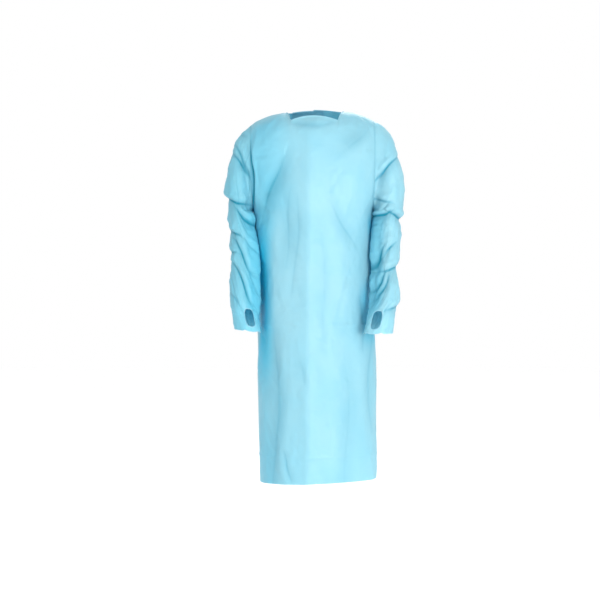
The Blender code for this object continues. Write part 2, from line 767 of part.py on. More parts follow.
def make_tail(side, name):
    """A free end of the waist tie, hanging from the knot."""
    centre = body_section(TIE_Z).crease_x
    top = TIE_Z - KNOT_HEIGHT / 2.0 - KNOT_GAP
    lean = math.tan(math.radians(TAIL_SPREAD_DEG[side]))
    length = TAIL_LENGTH[side]
    grid = []
    for row in range(TAIL_ROWS + 1):
        share = row / TAIL_ROWS
        z = top - length * share
        half = TIE_WIDTH / 2.0 * (1.0 - TAIL_GATHER * (1.0 - ramp(share, 0.0, 0.3)))
        middle = TAIL_START_X + half + length * share * lean * (1.0 - TAIL_CURL * share)
        line = []
        for across in (-1, 0, 1):
            x = centre + side * (middle + across * half)
            point = on_back(x, z, TAIL_LIFT + TIE_WALL)
            line.append(Vector((x, point.y, z)))
        grid.append(line)
    if side == LEFT:
        grid = [list(reversed(line)) for line in grid]

    def keep(point, outer, row, column):
        reach = max(SEAM_GAP, side * (point.x - centre))
        return Vector((centre + side * reach, point.y, min(point.z, top)))

    return wall_from_grid(name, grid, TIE_WALL, keep=keep)


def make_neck_tab():
    """The adhesive tab that holds the two back panels together at the nape."""
    centre = body_section(0.0).crease_x
    grid = []
    for row in range(TAB_ROWS + 1):
        line = []
        for cell in range(TAB_CELLS + 1):
            distance = TAB_OVER_X + (TAB_PAST_X - TAB_OVER_X) * cell / TAB_CELLS
            z = TAB_TOP_Z - TAB_HEIGHT * row / TAB_ROWS
            line.append(on_back(centre - distance, z, TAB_WALL + TAB_LIFT))
        grid.append(line)
    return wall_from_grid("neck_tab", grid, TAB_WALL)


def clear_scene():
    for item in list(bpy.data.objects):
        bpy.data.objects.remove(item)


def main():
    clear_scene()
    gown = bpy.data.objects.new("gown", None)
    bpy.context.scene.collection.objects.link(gown)
    pieces = (
        make_front(),
        make_back(RIGHT, "back_right", under=True),
        make_back(LEFT, "back_left", under=False),
        make_sleeve(RIGHT, "sleeve_right"),
        make_sleeve(LEFT, "sleeve_left"),
        make_tie(RIGHT, "waist_tie_right"),
        make_tie(LEFT, "waist_tie_left"),
        make_knot(),
        make_tail(RIGHT, "tie_end_right"),
        make_tail(LEFT, "tie_end_left"),
        make_neck_tab(),
    )
    for piece in pieces:
        piece.parent = gown


main()
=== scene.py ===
import math
from collections import namedtuple

import bmesh
import bpy
import numpy as np
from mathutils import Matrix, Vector, noise


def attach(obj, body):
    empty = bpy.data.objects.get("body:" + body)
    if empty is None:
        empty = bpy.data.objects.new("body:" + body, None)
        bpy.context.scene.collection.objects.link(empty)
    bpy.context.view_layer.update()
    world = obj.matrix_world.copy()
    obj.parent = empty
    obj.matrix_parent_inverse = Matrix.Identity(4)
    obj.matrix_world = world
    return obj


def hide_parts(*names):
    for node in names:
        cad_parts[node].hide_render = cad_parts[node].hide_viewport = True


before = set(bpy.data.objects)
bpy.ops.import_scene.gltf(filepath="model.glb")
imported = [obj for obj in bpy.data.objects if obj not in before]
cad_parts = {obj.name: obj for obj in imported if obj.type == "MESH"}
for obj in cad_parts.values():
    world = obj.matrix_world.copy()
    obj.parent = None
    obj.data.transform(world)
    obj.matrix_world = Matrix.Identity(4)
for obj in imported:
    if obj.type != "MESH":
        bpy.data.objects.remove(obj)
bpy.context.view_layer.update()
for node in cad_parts.values():
    node.select_set(False)

# Front panel
# One piece of thin embossed polyethylene film, cut with a wide, nearly straight
# neckline and heat sealed to the back panels along its shoulders and sides. It
# was packed folded: a sharp fold runs down its centre, and two fainter ones across.

# Right and left are as worn: the front faces -Y, and left is at +X

RIGHT = -1
LEFT = 1
SHOULDER_TIP_X = {RIGHT: 0.195, LEFT: 0.191}
SHOULDER_DROP = {RIGHT: 0.038, LEFT: 0.028}
NECK_X = {RIGHT: 0.084, LEFT: 0.098}
NECK_Z = {RIGHT: -0.001, LEFT: 0.002}
NECK_CORNER_X = {RIGHT: 0.069, LEFT: 0.075}
NECK_CORNER_Z = -0.030
NECK_FRONT_ARCH = 0.015
NECK_FRONT_RISE = 0.012
NECK_BACK_RISE = 0.032
NECK_BACK_ARCH = 0.012
UNDERARM_Z = -0.310
UNDERARM_X = 0.187
ARMHOLE_BULGE = 0.004
FRONT_ROUND = 0.115
BACK_ROUND = 0.100
ROOF = 0.12
HEM_Z = -1.158
HEM_TILT = 0.030
SEAM_GAP = 0.00015
FILM_THICKNESS = 0.0005
RIM_DEG = 75.0


def in_metres(kind, lengths, rows):
    """A table's rows, of which the first values are lengths given in millimetres."""
    return [kind(*(value / 1000.0 for value in row[:lengths]), *row[lengths:]) for row in rows]


# The gown's level sections, from the neck to the hem, in millimetres

BodyRow = namedtuple(
    "BodyRow", "z right_x crease_x left_x front_y seam_y back_y front_power back_power"
)
BODY = in_metres(BodyRow, 7, (
    (40, -216, -15, 210, -116, 10, 112, 2.7, 2.6),
    (-100, -221, -15, 214, -124, 10, 128, 2.7, 2.6),
    (-200, -215, -16, 211, -138, 10, 138, 2.7, 2.6),
    (-265, -201, -16, 200, -141, 11, 139, 2.7, 2.6),
    (-310, -187, -16, 187, -140, 12, 138, 2.6, 2.6),
    (-430, -184, -17, 190, -133, 45, 124, 2.5, 2.5),
    (-580, -180, -18, 191, -130, 56, 144, 2.5, 2.5),
    (-750, -174, -19, 199, -131, 56, 157, 2.6, 2.5),
    (-950, -173, -20, 201, -131, 54, 160, 2.6, 2.5),
    (-1200, -166, -21, 202, -127, 50, 158, 2.6, 2.5),
))

# Folds, each along a line seen from the front: its two ends, its depth (a ridge
# where negative) and its reach above and below, in millimetres, and how sharply it
# is creased, from 0 to 1, which is what it is where nothing is said.

Fold = namedtuple("Fold", "x1 z1 x2 z2 depth above below sharp", defaults=(1.0,))
FRONT_FOLDS = in_metres(Fold, 7, (
    (-176, -50, -186, -170, -5, 12, 12, 0.6),
    (-95, -150, -160, -320, 9, 16, 40, 0.3),
    (170, -60, 95, -130, 4.5, 45, 16, 0.2),
    (60, -300, 130, -420, 4, 22, 22, 0.4),
    (-116, -690, -120, -1200, 6, 22, 22, 0.2),
    (180, -560, 186, -1000, 4, 16, 16, 0.3),
    (-70, -240, -85, -480, 4, 22, 22, 0.3),
    (100, -760, 108, -1200, 3, 26, 26, 0.2),
    (-45, -260, -60, -560, 2.2, 14, 10, 0.5),
    (30, -420, 36, -700, 1.6, 12, 16, 0.4),
    (178, -40, 100, -120, -2.2, 10, 14, 0.7),
    (-110, -140, 105, -130, -6, 35, 100, 0.1),
    (-92, -1060, -70, -1150, 3, 9, 9, 0.7),
    (-34, -790, -24, -850, 1.8, 8, 8, 0.7),
    (-164, -480, -160, -720, 5, 12, 20, 0.1),
    (152, -580, 160, -740, 5, 16, 12, 0.4),
    # Along the right armhole seam, where the edge fade flattens it: only its painted shade line shows
    (-193, -90, -187, -330, 9, 4, 4),
))
CREASED_REACH = 1.8
CREASED_POWER = 1.5
FOLD_WANDER = 0.020
FOLD_TURNS = 6.0
FOLD_SHIFT = 90.0
FOLD_TAPER = 0.40
LIP_HEIGHT = 0.30
LIP_PLACE = 2.4
LIP_REACH = 1.1
# Painted shade: a darker line along each creased fold, and a softer one in its trough
SHADE_REACH = 0.0050
SHADE_DEPTH = 0.0075
LINE_SHADE = 0.95
TROUGH_SHADE = 0.42
TROUGH_LOST = 0.6
CREASE_DEPTH = 0.0055
CREASE_REACH = 0.050
PACKING_FOLD_Z = (-0.665, -1.075)
PACKING_FOLD_DEPTH = 0.0014
PACKING_FOLD_REACH = 0.010
NECK_TROUGH_Z = -0.030
NECK_TROUGH_DIP = 0.014
NECK_TROUGH_HALF_WIDTH = 0.072
NECK_TROUGH_DEPTH = 0.0032
NECK_TROUGH_REACH = 0.010
NECK_ROLL = 0.0026
NECK_ROLL_REACH = 0.004
# Painted shade in the crescent below the neckline
NECK_SHADE = 0.22
EDGE_FADE = 0.02
CRUMPLE_STEEPNESS = 4.0
CREASE_FADE = (0.03, 0.20)

NECK_CELLS = 14
NECKLINE_CELLS = 6
SHOULDER_CELLS = 38
ROLL_ROWS = 36
ARMHOLE_ROWS = 76
LOWER_ROWS = 176
UNDERARM_CROWDING = 0.8
COLUMNS_SPREAD = 0.45
ARMHOLE_HOLD = 4

FILM_PALE = (0.430, 0.735, 0.810, 1.0)
FILM_TINT = (0.300, 0.665, 0.780, 1.0)
# The colour of the painted shade in the folds, and of the darker welds along the seams
FILM_SHADE_AND_WELD = (0.004, 0.330, 0.480, 1.0)
# The colour of the painted shade beside the sleeves and on the chest
FILM_SIDE_SHADE = (0.005, 0.620, 0.840, 1.0)
# The colour of the painted highlight along the cut edges
FILM_EDGE_HIGHLIGHT = (0.500, 0.760, 0.860, 1.0)
FILM_SEE_THROUGH = 0.42
SEAM_BAND = (0.0030, 0.0050)
SEAM_SHADE = 0.12
# Painted highlight: a paler band along the film's cut edges
RIM_BAND = (0.0012, 0.0030)
RIM_HIGHLIGHT = 0.5
FILM_IOR = 1.43
FILM_ROUGHNESS = (0.34, 0.50)
NOISE_DETAIL = 2.0
CLOUD_SCALE = 7.0
CLOUD_DETAIL = 3.0
GLOSS_SCALE = 60.0
RIPPLE_SCALE = 14.0
RIPPLE_DISTORTION = 0.3
RIPPLE_DEPTH = 0.0065
WRINKLE_SCALE = 9.0
WRINKLE_DEPTH = 0.0010
EMBOSS_SCALE = 720.0
EMBOSS_UNEVEN = 0.35
EMBOSS_DEPTH = 0.00008
WELD_SCALE = 480.0
WELD_DEPTH = 0.0003
FRONT_SEED = 0.0
FRONT_CUT = (0.56, 1.22)

# Small creases all over a sheet: a seed for their draws, how many, on what width and
# height of film, and the least and most of their lean from upright, length, depth
# and reach.

Creases = namedtuple("Creases", "seed count width height lean_deg length depth reach")
FRONT_CREASES = Creases(
    21, 96, 0.54, 1.22, (2.0, 30.0), (0.04, 0.22), (0.0003, 0.0015), (0.004, 0.013)
)

# Uneven waves: their height, their size, how much longer they are upwards, a seed

Waves = namedtuple("Waves", "height size stretch seed")
FRONT_WAVES = (Waves(0.0018, 0.090, 3.0, 3.0), Waves(0.0004, 0.032, 1.6, 7.0))

# Painted shade beside the sleeves, where the film lies in their shadow: how much,
# then by distance from the side seam where that begins, and where it ends, and the
# same by distance below the shoulder, with the share that is lost further down.

SideShade = namedtuple("SideShade", "share begins ends top foot lost")
SHADE_BY_RIGHT_SLEEVE = SideShade(0.90, (0.02, 0.08), (0.110, 0.175), (0.26, 0.46), (0.66, 0.92), 0.8)
SHADE_BY_LEFT_ELBOW = SideShade(0.65, (0.0, 0.05), (0.050, 0.090), (0.30, 0.36), (0.52, 0.66), 1.0)
SHADE_BY_LEFT_CUFF = SideShade(0.70, (0.0, 0.04), (0.090, 0.150), (0.50, 0.60), (0.66, 0.76), 1.0)
CHEST_SHADE = 0.34
CHEST_SHADE_X = (-0.170, -0.040)
CHEST_SHADE_Z = (-0.420, -0.240)
CHEST_SHADE_FROM_TOP = (0.01, 0.09)


def ramp(value, low, high):
    """A soft step from 0 at low to 1 at high."""
    share = np.clip((value - low) / (high - low), 0.0, 1.0)
    return share * share * (3.0 - 2.0 * share)


def smooth_between(rows, stations, at):
    """A curve through the rows of a table, each at its station, read at one place."""
    last = len(rows) - 1
    index = 0
    while index < last - 1 and at > stations[index + 1]:
        index += 1
    before, after = max(0, index - 1), min(last, index + 2)
    gap = stations[index + 1] - stations[index]
    share = min(1.0, max(0.0, (at - stations[index]) / gap))
    into_part = gap / (stations[index + 1] - stations[before])
    out_part = gap / (stations[after] - stations[index])
    values = []
    for p, a, b, q in zip(rows[before], rows[index], rows[index + 1], rows[after]):
        values.append(
            a * (1 + 2 * share) * (1 - share) ** 2
            + b * share**2 * (3 - 2 * share)
            + (b - p) * into_part * share * (1 - share) ** 2
            - (q - a) * out_part * share**2 * (1 - share)
        )
    return type(rows[index])(*values)


def body_section(z):
    """The gown's section at height z."""
    return smooth_between(BODY, [-row.z for row in BODY], -z)


def shoulder_line(x):
    """Height of the shoulder seam above a point of the gown, the neck included."""
    side = RIGHT if x < 0 else LEFT
    share = max(0.0, (abs(x) - NECK_X[side]) / (SHOULDER_TIP_X[side] - NECK_X[side]))
    return NECK_Z[side] - SHOULDER_DROP[side] * min(share, 1.0) ** 2


def neck_bump(x):
    """1 over the middle of the neck, falling to 0 at the shoulder's neck end."""
    side = RIGHT if x < 0 else LEFT
    return max(0.0, 1.0 - (x / NECK_X[side]) ** 2)


def front_roof(x):
    return shoulder_line(x) + NECK_FRONT_RISE * neck_bump(x)


def back_roof(x):
    return shoulder_line(x) + NECK_BACK_RISE * neck_bump(x)


def front_edge(x):
    """Height of the front's top edge: the shoulder seam, then the neckline.

    The neckline's sides roll forward and down over the shoulder's round to its
    two corners, and its middle arches up between them.
    """
    side = RIGHT if x < 0 else LEFT
    corner, neck = NECK_CORNER_X[side], NECK_X[side]
    if abs(x) < corner:
        return NECK_CORNER_Z + NECK_FRONT_ARCH * (1.0 - (x / corner) ** 2)
    share = max(0.0, (neck - abs(x)) / (neck - corner))
    corner_drop = front_roof(side * corner) - NECK_CORNER_Z
    turn = share * math.acos(1.0 - corner_drop / FRONT_ROUND)
    return front_roof(x) - FRONT_ROUND * (1.0 - math.cos(turn))


def back_edge(x):
    """Height of the back's top edge: the shoulder seam, then the nape."""
    return shoulder_line(x) + NECK_BACK_ARCH * neck_bump(x)


def side_edge(section, side):
    return section.left_x if side == LEFT else section.right_x


def half_of(section, front):
    """Depth at the middle of the section's front or back half, and how square it is."""
    if front:
        return section.front_y, section.front_power
    return section.back_y, section.back_power


def angle_of(section, side, x, power):
    """Angle round the section, from its centre line, where it stands at x."""
    share = (x - section.crease_x) / (side_edge(section, side) - section.crease_x)
    return math.asin(min(1.0, max(0.0, share)) ** (power / 2.0))


def armhole_x(side, z):
    """Where the armhole's edge stands at height z."""
    tip_z = shoulder_line(side * SHOULDER_TIP_X[side])
    share = min(1.0, max(0.0, (tip_z - z) / (tip_z - UNDERARM_Z)))
    straight = SHOULDER_TIP_X[side] + (UNDERARM_X - SHOULDER_TIP_X[side]) * share
    return side * (straight + ARMHOLE_BULGE * math.sin(math.pi * share))


def side_angle(side, z, front):
    """Angle where the panel ends: at the armhole's edge, then at the side seam."""
    if z <= UNDERARM_Z + 1e-6:
        return math.pi / 2.0
    section = body_section(z)
    return angle_of(section, side, armhole_x(side, z), half_of(section, front)[1])


Column = namedtuple("Column", "share top roof")


def columns_through(side, front, stops):
    """The panel's columns on one side, from its centre line to its side seam.

    stops holds places across the shoulder, as x, each with its number of cells.
    """
    section = body_section(0.0)
    _, power = half_of(section, front)
    roof_of, edge_of = (front_roof, front_edge) if front else (back_roof, back_edge)
    tip = angle_of(section, side, side * SHOULDER_TIP_X[side], power)
    shares = [0.0]
    for x, cells in stops:
        end = angle_of(section, side, x, power) / tip
        shares += list(np.linspace(shares[-1], end, cells + 1)[1:])
    columns = []
    for share in shares:
        across = math.sin(share * tip) ** (2.0 / power)
        x = section.crease_x + across * (side_edge(section, side) - section.crease_x)
        columns.append(Column(share, edge_of(x), roof_of(x)))
    return columns


def section_point(side, angle, z, roof, front):
    """A point of the gown's outer surface, at an angle from the centre line."""
    section = body_section(z)
    face_y, power = half_of(section, front)
    across = max(0.0, math.sin(angle)) ** (2.0 / power)
    along = max(0.0, math.cos(angle)) ** (2.0 / power)
    x = section.crease_x + across * (side_edge(section, side) - section.crease_x)
    drop = min(1.0, max(0.0, (roof - z) / (FRONT_ROUND if front else BACK_ROUND)))
    swell = math.sqrt(max(0.0, 1.0 - (1.0 - drop) ** 2))
    if front:
        along *= 1.0 - ROOF * across
    return x, section.seam_y + (face_y - section.seam_y) * along * swell, z


def seam_depth(z):
    """Where the side seams stand in depth, at each height of a grid."""
    return np.array([[body_section(height).seam_y for height in row] for row in z])


def hem_height(x):
    return HEM_Z + HEM_TILT * x


def column_angle(side, column, z, front):
    """A column's angle at height z: only the outer ones bend with the armhole."""
    tip = side_angle(side, 0.0, front)
    spread = tip + (math.pi / 2.0 - tip) * ramp(-z, 0.0, COLUMNS_SPREAD)
    near = column.share**ARMHOLE_HOLD
    return column.share * (side_angle(side, z, front) * near + spread * (1.0 - near))


def column_points(side, column, front):
    """A column's points from the panel's top edge down to its hem."""
    round_height = FRONT_ROUND if front else BACK_ROUND
    rolled = min(1.0, max(0.0, (column.roof - column.top) / round_height))
    turns = np.linspace(math.acos(1.0 - rolled), math.pi / 2, ROLL_ROWS + 1)
    heights = list(column.roof - round_height * (1.0 - np.cos(turns)))
    foot = heights[-1]
    steps = np.linspace(0.0, 1.0, ARMHOLE_ROWS - ROLL_ROWS + 1)[1:]
    heights += list(foot + (UNDERARM_Z - foot) * steps**UNDERARM_CROWDING)
    hem_angle = column.share * math.pi / 2.0
    hem = hem_height(section_point(side, hem_angle, HEM_Z, column.roof, front)[0])
    heights += list(np.linspace(UNDERARM_Z, hem, LOWER_ROWS + 1)[1:])
    return [
        section_point(side, column_angle(side, column, z, front), z, column.roof, front)
        for z in heights
    ]


def near_fold(fold, x, z):
    """Where points are by a fold: metres and reaches from its line, side, strength.

    The line wanders a little, and the fold weakens towards its ends.
    """
    run_x, run_z = fold.x2 - fold.x1, fold.z2 - fold.z1
    length = math.hypot(run_x, run_z)
    along = ((x - fold.x1) * run_x + (z - fold.z1) * run_z) / length**2
    off_line = (run_x * (z - fold.z1) - run_z * (x - fold.x1)) / length
    wander = np.sin(FOLD_TURNS * along + FOLD_SHIFT * fold.x1)
    off_line = off_line + FOLD_WANDER * length * wander
    is_above = (off_line > 0) == (run_x > 0)
    reach = np.where(is_above, fold.above, fold.below)
    past_end = np.maximum(0.0, np.abs(along - 0.5) - 0.5) * length / reach
    taper = 1.0 - FOLD_TAPER * np.minimum(1.0, np.abs(2.0 * along - 1.0)) ** 2
    distance = np.abs(off_line)
    return distance, distance / reach, is_above, np.exp(-(past_end**2)) * taper


def fold_shape(folds, x, z):
    """How far the folds move a surface's points, outwards where positive.

    A creased fold has a soft lip on its upper side, where the film is pushed up.
    """
    total = np.zeros_like(x)
    for fold in folds:
        _, across, is_above, strength = near_fold(fold, x, z)
        creased = np.maximum(0.0, 1.0 - across / CREASED_REACH) ** CREASED_POWER
        profile = np.exp(-(across**2)) * (1.0 - fold.sharp) + creased * fold.sharp
        lip = np.exp(-(((across - LIP_PLACE) / LIP_REACH) ** 2)) * is_above * fold.sharp
        total += fold.depth * (LIP_HEIGHT * lip - profile) * strength
    return total


def fold_shade(folds, x, z):
    """How much shade is painted in the folds, along their lines and in their troughs, from 0 to 1."""
    shade = np.zeros_like(x)
    for fold in folds:
        distance, across, _, strength = near_fold(fold, x, z)
        line = np.maximum(0.0, 1.0 - distance / SHADE_REACH) * fold.sharp
        trough = np.exp(-(across**2)) * (1.0 - TROUGH_LOST * fold.sharp)
        deep = max(0.0, fold.depth) / SHADE_DEPTH
        shade += deep * (LINE_SHADE * line + TROUGH_SHADE * trough) * strength**2
    return np.clip(shade, 0.0, 1.0)


def small_creases(seed, count, width, height, lean_deg, length, depth, reach):
    """Small straight creases, uneven and all over a flat cut of film."""
    draw = np.random.default_rng(seed)
    creases = []
    for _ in range(count):
        x, z = draw.uniform(0.0, width), -draw.uniform(0.0, height)
        lean = math.radians(draw.choice((-1, 1)) * draw.uniform(*lean_deg))
        half = draw.uniform(*length) / 2.0
        run_x, run_z = math.sin(lean) * half, math.cos(lean) * half
        sides = draw.uniform(*reach, size=2)
        deep = draw.uniform(*depth) * draw.choice((-1, 1))
        creases.append(Fold(x - run_x, z - run_z, x + run_x, z + run_z, deep, *sides))
    return creases


def ridge(distance, height, reach):
    """A narrow creased ridge along a line, by distance from that line."""
    return height * np.maximum(0.0, 1.0 - np.abs(distance) / reach) ** 2


def packing_folds(z):
    """Height of the ridges that the folding across for packing left in the film."""
    return sum(ridge(z - fold_z, PACKING_FOLD_DEPTH, PACKING_FOLD_REACH) for fold_z in PACKING_FOLD_Z)


def crumple(grid, waves, shift=0.0):
    """Height of uneven ridged waves over a surface, each wave's seed shifted."""
    total = 0.0
    for wave in waves:
        places = grid.reshape(-1, 3) / np.array([wave.size, wave.size, wave.size * wave.stretch])
        start = Vector([wave.seed + shift] * 3)
        values = np.array([noise.noise(Vector(place) + start) for place in places])
        total = total + wave.height * (1.0 - CRUMPLE_STEEPNESS * np.abs(values)).reshape(grid.shape[:2])
    return total


def side_shade_at(painted_side_shade, from_seam, z):
    """How much shade is painted at a distance from a side seam and a height."""
    across = ramp(from_seam, *painted_side_shade.begins) * (1.0 - ramp(from_seam, *painted_side_shade.ends))
    down = ramp(-z, *painted_side_shade.top) * (1.0 - painted_side_shade.lost * ramp(-z, *painted_side_shade.foot))
    return painted_side_shade.share * across * down


def outward(grid, closed=False):
    """The grid's unit normals, where its rows run down and its columns round."""
    if closed:
        across = np.roll(grid, -1, axis=1) - np.roll(grid, 1, axis=1)
    else:
        across = np.gradient(grid, axis=1)
    normals = np.cross(np.gradient(grid, axis=0), across)
    lengths = np.linalg.norm(normals, axis=2, keepdims=True)
    return normals / np.maximum(lengths, 1e-12)


def lengths_along(grid, axis, closed=False):
    """Length of film from the first row or column to each point of the grid."""
    if closed:
        grid = np.concatenate([grid, grid[:, :1]], axis=1)
    steps = np.linalg.norm(np.diff(grid, axis=axis), axis=2)
    return np.insert(np.cumsum(steps, axis=axis), 0, 0.0, axis=axis)


def to_edges(grid, axis):
    """Distance along the film to the nearer of the grid's two edges on one axis."""
    lengths = lengths_along(grid, axis)
    whole = lengths[-1:] if axis == 0 else lengths[:, -1:]
    return np.minimum(lengths, whole - lengths)


def film_piece(
    name, grid, attributes, closed=False, cut=(), thickness=FILM_THICKNESS, centre=(0, 0)
):
    """A sheet of film over a grid of points, with its flat cut as its UV map.

    attributes holds named values for each point, for the film's material, cut the
    cells that are cut away, and centre the row and column where the cut is 0.
    """
    rows, columns, _ = grid.shape
    around = columns if closed else columns - 1
    cut = set(cut)
    kept = [(r, c) for r in range(rows - 1) for c in range(around) if (r, c) not in cut]
    corners = np.array(kept)[:, None] + np.array([(0, 0), (1, 0), (1, 1), (0, 1)])
    row, column = corners[..., 0], corners[..., 1]
    mesh = bpy.data.meshes.new(name)
    faces = (row * columns + column % columns).tolist()
    mesh.from_pydata(grid.reshape(-1, 3).tolist(), [], faces)
    wide = lengths_along(grid, 1, closed)
    long = lengths_along(grid, 0, closed)
    wide = wide - wide[:, centre[1] : centre[1] + 1]
    long = long - long[centre[0]]
    flat = np.stack([wide[row, column], -long[row, column]], axis=-1)
    mesh.uv_layers.new(name="cut").data.foreach_set("uv", flat.astype(np.float32).ravel())
    for label, values in attributes.items():
        layer = mesh.attributes.new(label, "FLOAT", "POINT")
        layer.data.foreach_set("value", values.astype(np.float32).ravel())
    tidy = bmesh.new()
    tidy.from_mesh(mesh)
    loose = [vertex for vertex in tidy.verts if not vertex.link_faces]
    bmesh.ops.delete(tidy, geom=loose, context="VERTS")
    tidy.to_mesh(mesh)
    tidy.free()
    mesh.shade_smooth()
    piece = bpy.data.objects.new(name, mesh)
    bpy.context.scene.collection.objects.link(piece)
    film = piece.modifiers.new("film", "SOLIDIFY")
    film.thickness = thickness
    film.offset = -1.0
    bpy.context.view_layer.objects.active = piece
    bpy.ops.object.modifier_apply(modifier="film")
    piece.data.set_sharp_from_angle(angle=math.radians(RIM_DEG))
    return piece


def film_material(name, seed, pale=FILM_PALE, tint=FILM_TINT):
    """Embossed, milky blue film, with painted shade in its folds, beside the sleeves and
    on the chest, and a painted highlight along its cut edges.

    Reads the piece's cut as its UV map, and its own attributes: seam and rim,
    the distance in metres to the nearest weld and to the cut edge, where the highlight
    is painted, fold, the painted shade of the folds, which is 1 at the bottom of a deep
    fold, and painted_side_shade, which is 1 where the shade beside the sleeves is
    painted darkest.
    """
    material = bpy.data.materials.new(name)
    material.use_nodes = True
    nodes, links = material.node_tree.nodes, material.node_tree.links
    shader = nodes["Principled BSDF"]
    shader.inputs["IOR"].default_value = FILM_IOR

    def made(kind, inputs, output, **settings):
        """A new node's output, with its inputs linked or set and its settings made."""
        node = nodes.new(kind)
        for key, value in settings.items():
            setattr(node, key, value)
        for key, value in inputs.items():
            if isinstance(value, bpy.types.NodeSocket):
                links.new(value, node.inputs[key])
            else:
                node.inputs[key].default_value = value
        return node.outputs[output]

    def attribute(label):
        return made("ShaderNodeAttribute", {}, "Fac", attribute_name=label)

    def ranged(value, inputs, **settings):
        return made("ShaderNodeMapRange", {"Value": value, **inputs}, "Result", **settings)

    def band(distance, full, none):
        limits = {"From Min": full, "From Max": none, "To Min": 1.0, "To Max": 0.0}
        return ranged(distance, limits, interpolation_type="SMOOTHSTEP")

    def mixed(factor, first, second):
        """Two colours mixed: inputs 6 and 7 and output 2 are the node's colours."""
        return made("ShaderNodeMix", {0: factor, 6: first, 7: second}, 2, data_type="RGBA")

    def product(value, amount):
        return made("ShaderNodeMath", {0: value, 1: amount}, 0, operation="MULTIPLY")

    cut = made("ShaderNodeUVMap", {}, "UV", uv_map="cut")

    def texture(kind, scale, output, inputs, **settings):
        place = {"Location": (seed, seed, 0.0), "Vector": cut}
        inputs["Vector"] = made("ShaderNodeMapping", place, "Vector")
        return made(kind, {"Scale": scale, **inputs}, output, **settings)

    def noise_texture(scale, detail=NOISE_DETAIL, distortion=0.0, kind="FBM"):
        inputs = {"Detail": detail, "Distortion": distortion}
        return texture("ShaderNodeTexNoise", scale, "Fac", inputs, noise_type=kind)

    def cells(scale, randomness):
        return texture("ShaderNodeTexVoronoi", scale, "Distance", {"Randomness": randomness})

    seam = band(attribute("seam"), *SEAM_BAND)
    rim = band(attribute("rim"), *RIM_BAND)
    colour = mixed(noise_texture(CLOUD_SCALE, CLOUD_DETAIL), pale, tint)
    # Painted shade beside the sleeves and on the chest
    colour = mixed(attribute("painted_side_shade"), colour, FILM_SIDE_SHADE)
    # Painted shade in the folds
    colour = mixed(attribute("fold"), colour, FILM_SHADE_AND_WELD)
    colour = mixed(product(seam, SEAM_SHADE), colour, FILM_SHADE_AND_WELD)
    # Painted highlight along the cut edges
    colour = mixed(product(rim, RIM_HIGHLIGHT), colour, FILM_EDGE_HIGHLIGHT)
    links.new(colour, shader.inputs["Base Color"])

    smooth, rough = FILM_ROUGHNESS
    gloss = ranged(noise_texture(GLOSS_SCALE), {"To Min": smooth, "To Max": rough})
    links.new(gloss, shader.inputs["Roughness"])

    normal = None
    for height, depth in (
        (noise_texture(RIPPLE_SCALE, distortion=RIPPLE_DISTORTION), RIPPLE_DEPTH),
        (noise_texture(WRINKLE_SCALE, kind="RIDGED_MULTIFRACTAL"), WRINKLE_DEPTH),
        (cells(EMBOSS_SCALE, EMBOSS_UNEVEN), EMBOSS_DEPTH),
        (product(seam, cells(WELD_SCALE, 0.0)), WELD_DEPTH),
    ):
        inputs = {"Distance": depth, "Height": height}
        if normal:
            inputs["Normal"] = normal
        normal = made("ShaderNodeBump", inputs, "Normal")
    links.new(normal, shader.inputs["Normal"])

    behind = made("ShaderNodeBsdfTranslucent", {"Color": colour, "Normal": normal}, 0)
    both = {0: FILM_SEE_THROUGH, 1: shader.outputs[0], 2: behind}
    links.new(made("ShaderNodeMixShader", both, 0), nodes["Material Output"].inputs["Surface"])
    return material


def dress(piece, node, film):
    """Gives a piece its film, and its place in the frame: it replaces a node."""
    piece.data.materials.append(film)
    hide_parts(node)
    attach(piece, "root")


def front_columns(side):
    """The front's columns on one side, from its centre line to its side seam."""
    stops = (
        (NECK_CORNER_X[side], NECK_CELLS),
        (NECK_X[side], NECKLINE_CELLS),
        (SHOULDER_TIP_X[side], SHOULDER_CELLS),
    )
    return columns_through(side, True, [(side * x, cells) for x, cells in stops])


right_columns = front_columns(RIGHT)
front_grid = [column_points(RIGHT, column, True) for column in right_columns[:0:-1]]
front_grid += [column_points(LEFT, column, True) for column in front_columns(LEFT)]
front_grid = np.array(front_grid).transpose(1, 0, 2)

from_top = lengths_along(front_grid, 0)
from_hem = from_top[-1:] - from_top
from_right = lengths_along(front_grid, 1)
from_left = from_right[:, -1:] - from_right
from_side = np.minimum(from_right, from_left)
front_x, front_z = front_grid[:, :, 0], front_grid[:, :, 2]
across_neck = np.abs(np.arange(front_grid.shape[1]) - len(right_columns) + 1)
at_neck = np.broadcast_to(across_neck <= NECK_CELLS + NECKLINE_CELLS, front_x.shape)
crease_x = np.array([[body_section(z).crease_x for z in front_z[:, 0]]]).T

front_centre = (ARMHOLE_ROWS, len(right_columns) - 1)
cut_across = from_right - from_right[:, front_centre[1]][:, None] + FRONT_CUT[0] / 2.0
cut_down = from_top - from_top[front_centre[0]] - UNDERARM_Z

